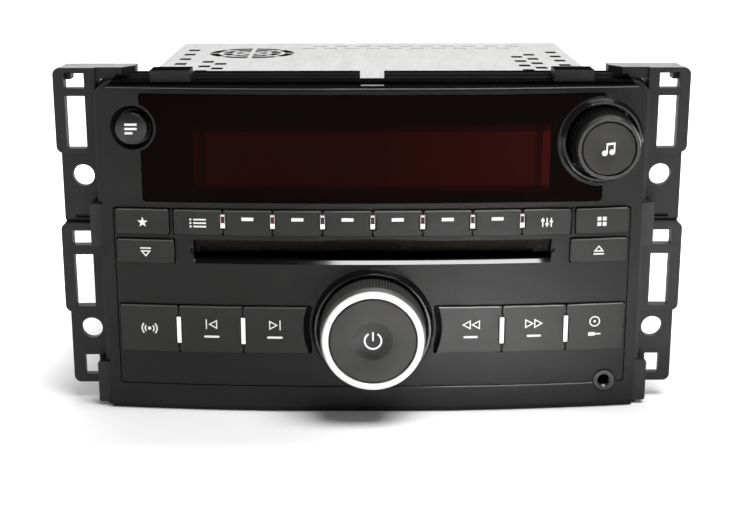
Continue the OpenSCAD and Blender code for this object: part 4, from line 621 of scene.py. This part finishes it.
def dash(x, z, w, h):
    """Level dash with round ends."""
    r, steps = h / 2, 10
    turn = [math.pi * i / steps for i in range(steps + 1)]
    quarter = math.pi / 2
    left = [(x - w / 2 + r + r * math.cos(quarter + a), z + r * math.sin(quarter + a)) for a in turn]
    right = [(x + w / 2 - r + r * math.cos(a - quarter), z + r * math.sin(a - quarter)) for a in turn]
    return [left + right]


def list_lines(x, z):
    """Three dots, each with a line beside it."""
    gap, line_w = 1.25, 0.55
    line_left, line_right = -1.6, 2.9
    dot_x, dot_r, dot_count = -2.6, 0.38, 12
    shapes = []
    for row in (z - gap, z, z + gap):
        shapes += level_bar(x + line_left, x + line_right, row, line_w)
        shapes += circle(x + dot_x, row, dot_r, dot_count)
    return shapes


def sliders(x, z):
    """Three upright tracks, each with a slider at its own height."""
    gap, track_half, track_w = 1.5, 1.6, 0.42
    slider_half, slider_w = 0.6, 0.7
    shapes = []
    for k, height in ((-1, 0.7), (0, -0.6), (1, 0.3)):
        shapes += upright_bar(x + gap * k, z - track_half, z + track_half, track_w)
        shapes += level_bar(x + gap * k - slider_half, x + gap * k + slider_half, z + height, slider_w)
    return shapes


def star(x, z):
    outer, inner, corners = 1.95, 0.80, 10
    radii = [outer if i % 2 == 0 else inner for i in range(corners)]
    angles = [2 * math.pi * i / corners for i in range(corners)]
    return [[(x + r * math.sin(a), z + r * math.cos(a)) for r, a in zip(radii, angles)]]


def grid(x, z):
    """Four squares."""
    offset, side = 0.95, 1.4
    shapes = []
    for dx in (-offset, offset):
        for dz in (-offset, offset):
            shapes += level_bar(x + dx - side / 2, x + dx + side / 2, z + dz, side)
    return shapes


def tray_sign(x, z, k):
    """Triangle and bar, upright for k of 1 and upside down for k of -1."""
    half, base, tip, outline_w = 1.9, 0.4, 1.9, 0.42
    bar_drop, bar_w = 1.25, 0.5
    corners = [(x - half, z - base * k), (x + half, z - base * k), (x, z + tip * k)]
    return loop(corners[::k], outline_w) + level_bar(x - half, x + half, z - bar_drop * k, bar_w)


def arrow(x, z, k):
    """Outlined arrow head that points right for k of 1 and left for k of -1."""
    half, back, tip, outline_w = 1.75, 0.85, 0.95, 0.40
    corners = [(x - k * half * back, z + half), (x - k * half * back, z - half), (x + k * half * tip, z)]
    return loop(corners[::k], outline_w)


def waves(x, z):
    """Dot between two pairs of waves."""
    dot_r, dot_count = 0.62, 16
    wave_w, half_angle, wave_count = 0.5, 42, 12
    shapes = circle(x, z, dot_r, dot_count)
    for r in (1.6, 2.7):
        for a in (0, 180):
            shapes += arc(x, z, r, wave_w, a - half_angle, a + half_angle, wave_count)
    return shapes


def disc_and_plug(x, disc_z, plug_z):
    disc_r, disc_w, disc_count = 1.75, 0.45, 30
    hub_r, hub_count = 0.45, 14
    body_left, body_right, body_w = -2.2, 0.2, 1.3
    pin_right, pin_w = 2.3, 0.55
    shapes = arc(x, disc_z, disc_r, disc_w, 0, 360, disc_count) + circle(x, disc_z, hub_r, hub_count)
    shapes += level_bar(x + body_left, x + body_right, plug_z, body_w)
    return shapes + level_bar(x + body_right, x + pin_right, plug_z, pin_w)


def power_mark(x, z):
    r, w, start, end, count = 2.9, 0.62, 122, 418, 36
    bar_foot, bar_tip, bar_parts = 0.2, 3.2, 10
    return arc(x, z, r, w, start, end, count) + upright_bar(x, z - bar_foot, z + bar_tip, w, bar_parts)


def pair_of_notes(x, z):
    head_r, head_count = 0.95, 20
    left_head, right_head = (-1.45, -1.55), (1.05, -1.15)
    stem_w, left_stem, right_stem = 0.5, (-0.70, -1.5, 1.55), (1.80, -1.1, 1.95)
    beam, beam_w = (-0.95, 1.45, 2.05, 1.85), 0.75
    parts = 8
    shapes = []
    for dx, dz in (left_head, right_head):
        shapes += circle(x + dx, z + dz, head_r, head_count)
    for dx, foot, tip in (left_stem, right_stem):
        shapes += upright_bar(x + dx, z + foot, z + tip, stem_w, parts)
    return shapes + bar(x + beam[0], z + beam[1], x + beam[2], z + beam[3], beam_w, parts)


def text_lines(x, z):
    """Three lines, the last of them short."""
    gap, w, half, short_right = 1.5, 0.75, 2.1, 0.6
    long_parts, short_parts = 12, 8
    shapes = level_bar(x - half, x + half, z + gap, w, long_parts)
    shapes += level_bar(x - half, x + half, z, w, long_parts)
    return shapes + level_bar(x - half, x + short_right, z - gap, w, short_parts)


# Printed signs on the keys and buttons

PRINT_LIFT, PRINT_THICK = 0.05, 0.12


def add_object(name, bm, material):
    me = bpy.data.meshes.new(name)
    bm.to_mesh(me)
    bm.free()
    me.materials.append(material)
    o = bpy.data.objects.new(name, me)
    bpy.context.scene.collection.objects.link(o)
    return o


def sign(name, shapes, depth_at, body):
    """Thin raised print: flat shapes in X and Z laid on a surface given by its depth."""
    bm = bmesh.new()
    for pts in shapes:
        depths = [depth_at(x, z) - PRINT_LIFT for x, z in pts]
        front = [bm.verts.new((x * MM, y * MM, z * MM)) for (x, z), y in zip(pts, depths)]
        back = [bm.verts.new((x * MM, (y + PRINT_THICK) * MM, z * MM)) for (x, z), y in zip(pts, depths)]
        bm.faces.new(front)
        bm.faces.new(back[::-1])
        for i in range(len(pts)):
            j = (i + 1) % len(pts)
            bm.faces.new((front[i], back[i], back[j], front[j]))
    bmesh.ops.recalc_face_normals(bm, faces=bm.faces[:])
    o = add_object(name, bm, M["print"])
    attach(o, body)


def on_key(x, z):
    return face_y(x) - KEY_PROUD


def on_info(x, z):
    """Depth of the info button's dome."""
    r = math.hypot(x - INFO[0], z - INFO[1])
    return INFO_FRONT + INFO_DOME_R - math.sqrt(INFO_DOME_R * INFO_DOME_R - r * r)


def hollow(front, axis, radius, depth):
    """Depth of a cap with a round hollow in its middle."""
    dish = (radius * radius + depth * depth) / (2 * depth)

    def at(x, z):
        r = math.hypot(x - axis[0], z - axis[1])
        if r >= radius:
            return front
        return front + max(0.0, math.sqrt(dish * dish - r * r) - (dish - depth))
    return at


def top_key_x(name):
    return (TOP_KEYS.index(name) - (len(TOP_KEYS) - 1) / 2) * PRESET_PITCH


# Heights and places of the signs, in millimetres
PRESET_DASH_Z, PRESET_DASH_HALF, PRESET_DASH_H = 71.9, 2.1, 1.2
TOP_SIGN_Z = 70.3
CORNER_SIGN_X, CORNER_SIGN_Z = 80.9, 70.2
TRAY_SIGN_X, TRAY_SIGN_Z = 80.2, 59.6
ARROW_Z = 33.2
STOP_HALF, STOP_W = 1.8, 0.42
LOW_DASH_Z, LOW_DASH_H = 28.6, 0.8
SEEK_DASH_W, SKIP_DASH_W = 5.6, 5.2
BAND_SIGN = (-80.0, 31.2)
DISC_SIGN_X, DISC_SIGN_Z = 79.8, 33.3
POWER_CAP_SINK, POWER_DISH_R, POWER_DISH_DEPTH = 0.4, 6.95, 0.9
TONE_CAP_SINK, TONE_DISH_R, TONE_DISH_DEPTH = 0.2, 5.0, 0.4


def seek_sign(name, key, arrow_x, stop_x, dash_x, k):
    """Arrow head against a stop line, over a dash."""
    shapes = arrow(arrow_x, ARROW_Z, k)
    shapes += upright_bar(stop_x, ARROW_Z - STOP_HALF, ARROW_Z + STOP_HALF, STOP_W)
    shapes += dash(dash_x, LOW_DASH_Z, SEEK_DASH_W, LOW_DASH_H)
    sign(name, shapes, on_key, key)


def skip_sign(name, key, first_x, second_x, dash_x, k):
    """Two arrow heads over a dash."""
    shapes = arrow(first_x, ARROW_Z, k) + arrow(second_x, ARROW_Z, k)
    shapes += dash(dash_x, LOW_DASH_Z, SKIP_DASH_W, LOW_DASH_H)
    sign(name, shapes, on_key, key)


for key in PRESET_KEYS:
    x = top_key_x(key)
    strip = level_bar(x - PRESET_DASH_HALF, x + PRESET_DASH_HALF, PRESET_DASH_Z, PRESET_DASH_H)
    sign(key + "_dash", strip, on_key, key)
sign("menu_lines", list_lines(top_key_x("menu_key"), TOP_SIGN_Z), on_key, "menu_key")
sign("tone_sliders", sliders(top_key_x("tone_key"), TOP_SIGN_Z), on_key, "tone_key")
sign("favourite_star", star(-CORNER_SIGN_X, CORNER_SIGN_Z), on_key, "favourite_key")
sign("category_grid", grid(CORNER_SIGN_X, CORNER_SIGN_Z), on_key, "category_key")
sign("load_sign", tray_sign(-TRAY_SIGN_X, TRAY_SIGN_Z, -1), on_key, "load_key")
sign("eject_sign", tray_sign(TRAY_SIGN_X, TRAY_SIGN_Z, 1), on_key, "eject_key")
seek_sign("seek_down_sign", "seek_down_key", arrow_x=-57.0, stop_x=-59.4, dash_x=-57.6, k=-1)
seek_sign("seek_up_sign", "seek_up_key", arrow_x=-35.4, stop_x=-33.0, dash_x=-34.9, k=1)
skip_sign("rewind_sign", "rewind_key", first_x=33.5, second_x=36.8, dash_x=35.0, k=-1)
skip_sign("forward_sign", "forward_key", first_x=56.0, second_x=59.3, dash_x=57.8, k=1)
sign("band_waves", waves(*BAND_SIGN), on_key, "band_key")
sign("source_signs", disc_and_plug(DISC_SIGN_X, DISC_SIGN_Z, LOW_DASH_Z), on_key, "source_key")
on_power = hollow(VOLUME_FRONT + POWER_CAP_SINK, VOLUME, POWER_DISH_R, POWER_DISH_DEPTH)
sign("power_sign", power_mark(*VOLUME), on_power, "power_button")
on_tone = hollow(TUNE_FRONT + TONE_CAP_SINK, TUNE, TONE_DISH_R, TONE_DISH_DEPTH)
sign("tone_note", pair_of_notes(*TUNE), on_tone, "tone_button")
sign("info_lines", text_lines(*INFO), on_info, "info_button")


# Felt fibres

def fringe():
    """Loose fibres along the lower edge of the felt strip in the disc slot."""
    fibres, rows, seed = 430, (0.3, 0.7), 7
    thin, thick, short, long = 0.14, 0.24, 2.9, 4.1
    scatter, sway, lean, root_height = 0.1, 0.3, 0.2, 0.5
    corners = ((-1, -0.5), (1, -0.5), (0, 1))
    lo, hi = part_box("dust_curtain")
    dice = random.Random(seed)
    bm = bmesh.new()
    for row in rows:
        for i in range(fibres):
            x = lo.x + (hi.x - lo.x) * (i + dice.random()) / fibres
            y = lo.y + (hi.y - lo.y) * row + dice.uniform(-scatter, scatter) * MM
            w = dice.uniform(thin, thick) * MM
            root = [bm.verts.new((x + dx * w, y + dy * w, lo.z + root_height * MM)) for dx, dy in corners]
            tip_x = x + dice.uniform(-sway, sway) * MM
            tip_y = y - dice.uniform(0.0, lean) * MM
            tip = bm.verts.new((tip_x, tip_y, lo.z - dice.uniform(short, long) * MM))
            bm.faces.new(root[::-1])
            for k in range(3):
                bm.faces.new((root[k], root[(k + 1) % 3], tip))
    bmesh.ops.recalc_face_normals(bm, faces=bm.faces[:])
    o = add_object("curtain_fringe", bm, M["felt"])
    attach(o, "radio")


fringe()


# Stage, light and camera

def floor():
    """White floor with painted light: its glow is lifted at the sides to lighten the shadows there, far
    away, and in a window in front that the keys mirror.
    """
    half_size, sink = 40.0, 0.0001
    far, near_level, far_level = (110.0, 700.0), 0.05, 0.9
    beside, beside_level = (104.0, 170.0), 0.85
    window_far, window_near, window_level = (-125.0, -75.0), (-65.0, -38.0), 0.30
    white = surface("floor_white", (0.86, 0.86, 0.86), rough=0.7, vary=0.01, vary_scale=2.0, grain=0.0,
                    spec=0.2)
    t = white.node_tree
    away = node(t, "ShaderNodeVectorMath", operation="LENGTH")
    t.links.new(object_coords(t), away.inputs[0])
    ahead = axis_value(t, "Y")
    window = band(t, ahead, window_near, window_level, 0.0)
    window = combine(t, "MULTIPLY", window, band(t, ahead, window_far))
    sides = band(t, combine(t, "ABSOLUTE", axis_value(t, "X")), beside, 0.0, beside_level)
    lift = band(t, away.outputs["Value"], far, near_level, far_level)
    lift = combine(t, "MAXIMUM", lift, combine(t, "MAXIMUM", sides, window))
    # Painted light: this emission fills the floor's shadows beside the object and adds a bright patch in
    # front.
    t.links.new(lift, sockets(white)["Emission Strength"])
    sockets(white)["Emission Color"].default_value = (1.0, 1.0, 1.0, 1.0)
    bm = bmesh.new()
    bmesh.ops.create_grid(bm, x_segments=2, y_segments=2, size=half_size)
    o = add_object("studio_floor", bm, white)
    o.location = (0, 0, -sink)


def add_light(light, place, target):
    o = bpy.data.objects.new(light.name, light)
    o.location = place
    o.rotation_euler = (Vector(target) - Vector(place)).to_track_quat("-Z", "Y").to_euler()
    bpy.context.scene.collection.objects.link(o)
    return o


def softbox(name, place, target, size, power):
    light = bpy.data.lights.new(name, "AREA")
    light.shape = "RECTANGLE"
    light.size, light.size_y = size
    light.energy = power
    return add_light(light, place, target)


def floor_spot(place, target, power, cone, radius):
    """Spot on the floor to the right in front, seen only as a soft sheen on the bowed face."""
    spot = bpy.data.lights.new("floor_spot", "SPOT")
    spot.energy = power
    spot.spot_size = math.radians(cone)
    spot.spot_blend = 1.0
    spot.shadow_soft_size = radius
    add_light(spot, place, target)


def surroundings():
    """Bright behind the object, dark in front of it and overhead."""
    levels = ((0.0, 0.10), (0.5, 0.16), (0.8, 0.55), (0.97, 1.0))
    dim_start, dim_end, dim_level = 0.55, 0.95, 0.2
    world = bpy.data.worlds.new("studio")
    bpy.context.scene.world = world
    world.use_nodes = True
    t = world.node_tree
    inputs = t.nodes["Background"].inputs
    split = node(t, "ShaderNodeSeparateXYZ")
    t.links.new(node(t, "ShaderNodeTexCoord").outputs["Generated"], split.inputs["Vector"])
    behind = map_range(t, split.outputs["Y"], -1.0, 1.0, 0.0, 1.0)
    stops = [(place, (level, level, level)) for place, level in levels]
    t.links.new(ramp(t, behind, stops), inputs["Color"])
    t.links.new(map_range(t, split.outputs["Z"], dim_start, dim_end, 1.0, dim_level), inputs["Strength"])


def photo_camera(place, pitch, yaw, lens):
    camera = bpy.data.cameras.new("photo_camera")
    camera.lens = lens
    camera.sensor_width = 36.0
    camera.sensor_fit = "HORIZONTAL"
    camera.clip_start = 0.01
    o = bpy.data.objects.new("photo_camera", camera)
    o.location = place
    o.rotation_euler = (math.radians(90 - pitch), 0.0, math.radians(yaw))
    bpy.context.scene.collection.objects.link(o)
    bpy.context.scene.camera = o


floor()
softbox("key_light", place=(0.30, -0.28, 1.05), target=(0.30, -0.28, 0.0), size=(0.73, 0.56), power=14.5)
top_light = softbox("top_light", place=(-0.2, 1.0, 1.6), target=(-0.1, 0.3, 0.0), size=(1.6, 0.8),
                    power=13.5)
top_light.visible_glossy = False
floor_spot(place=(0.16, -0.36, 0.60), target=(0.062, -0.128, 0.0), power=290.0, cone=12, radius=0.05)
surroundings()
photo_camera(place=(-0.003306, -0.4894, 0.1840), pitch=15, yaw=-0.5, lens=66.8)
bpy.context.scene.view_settings.view_transform = "Standard"
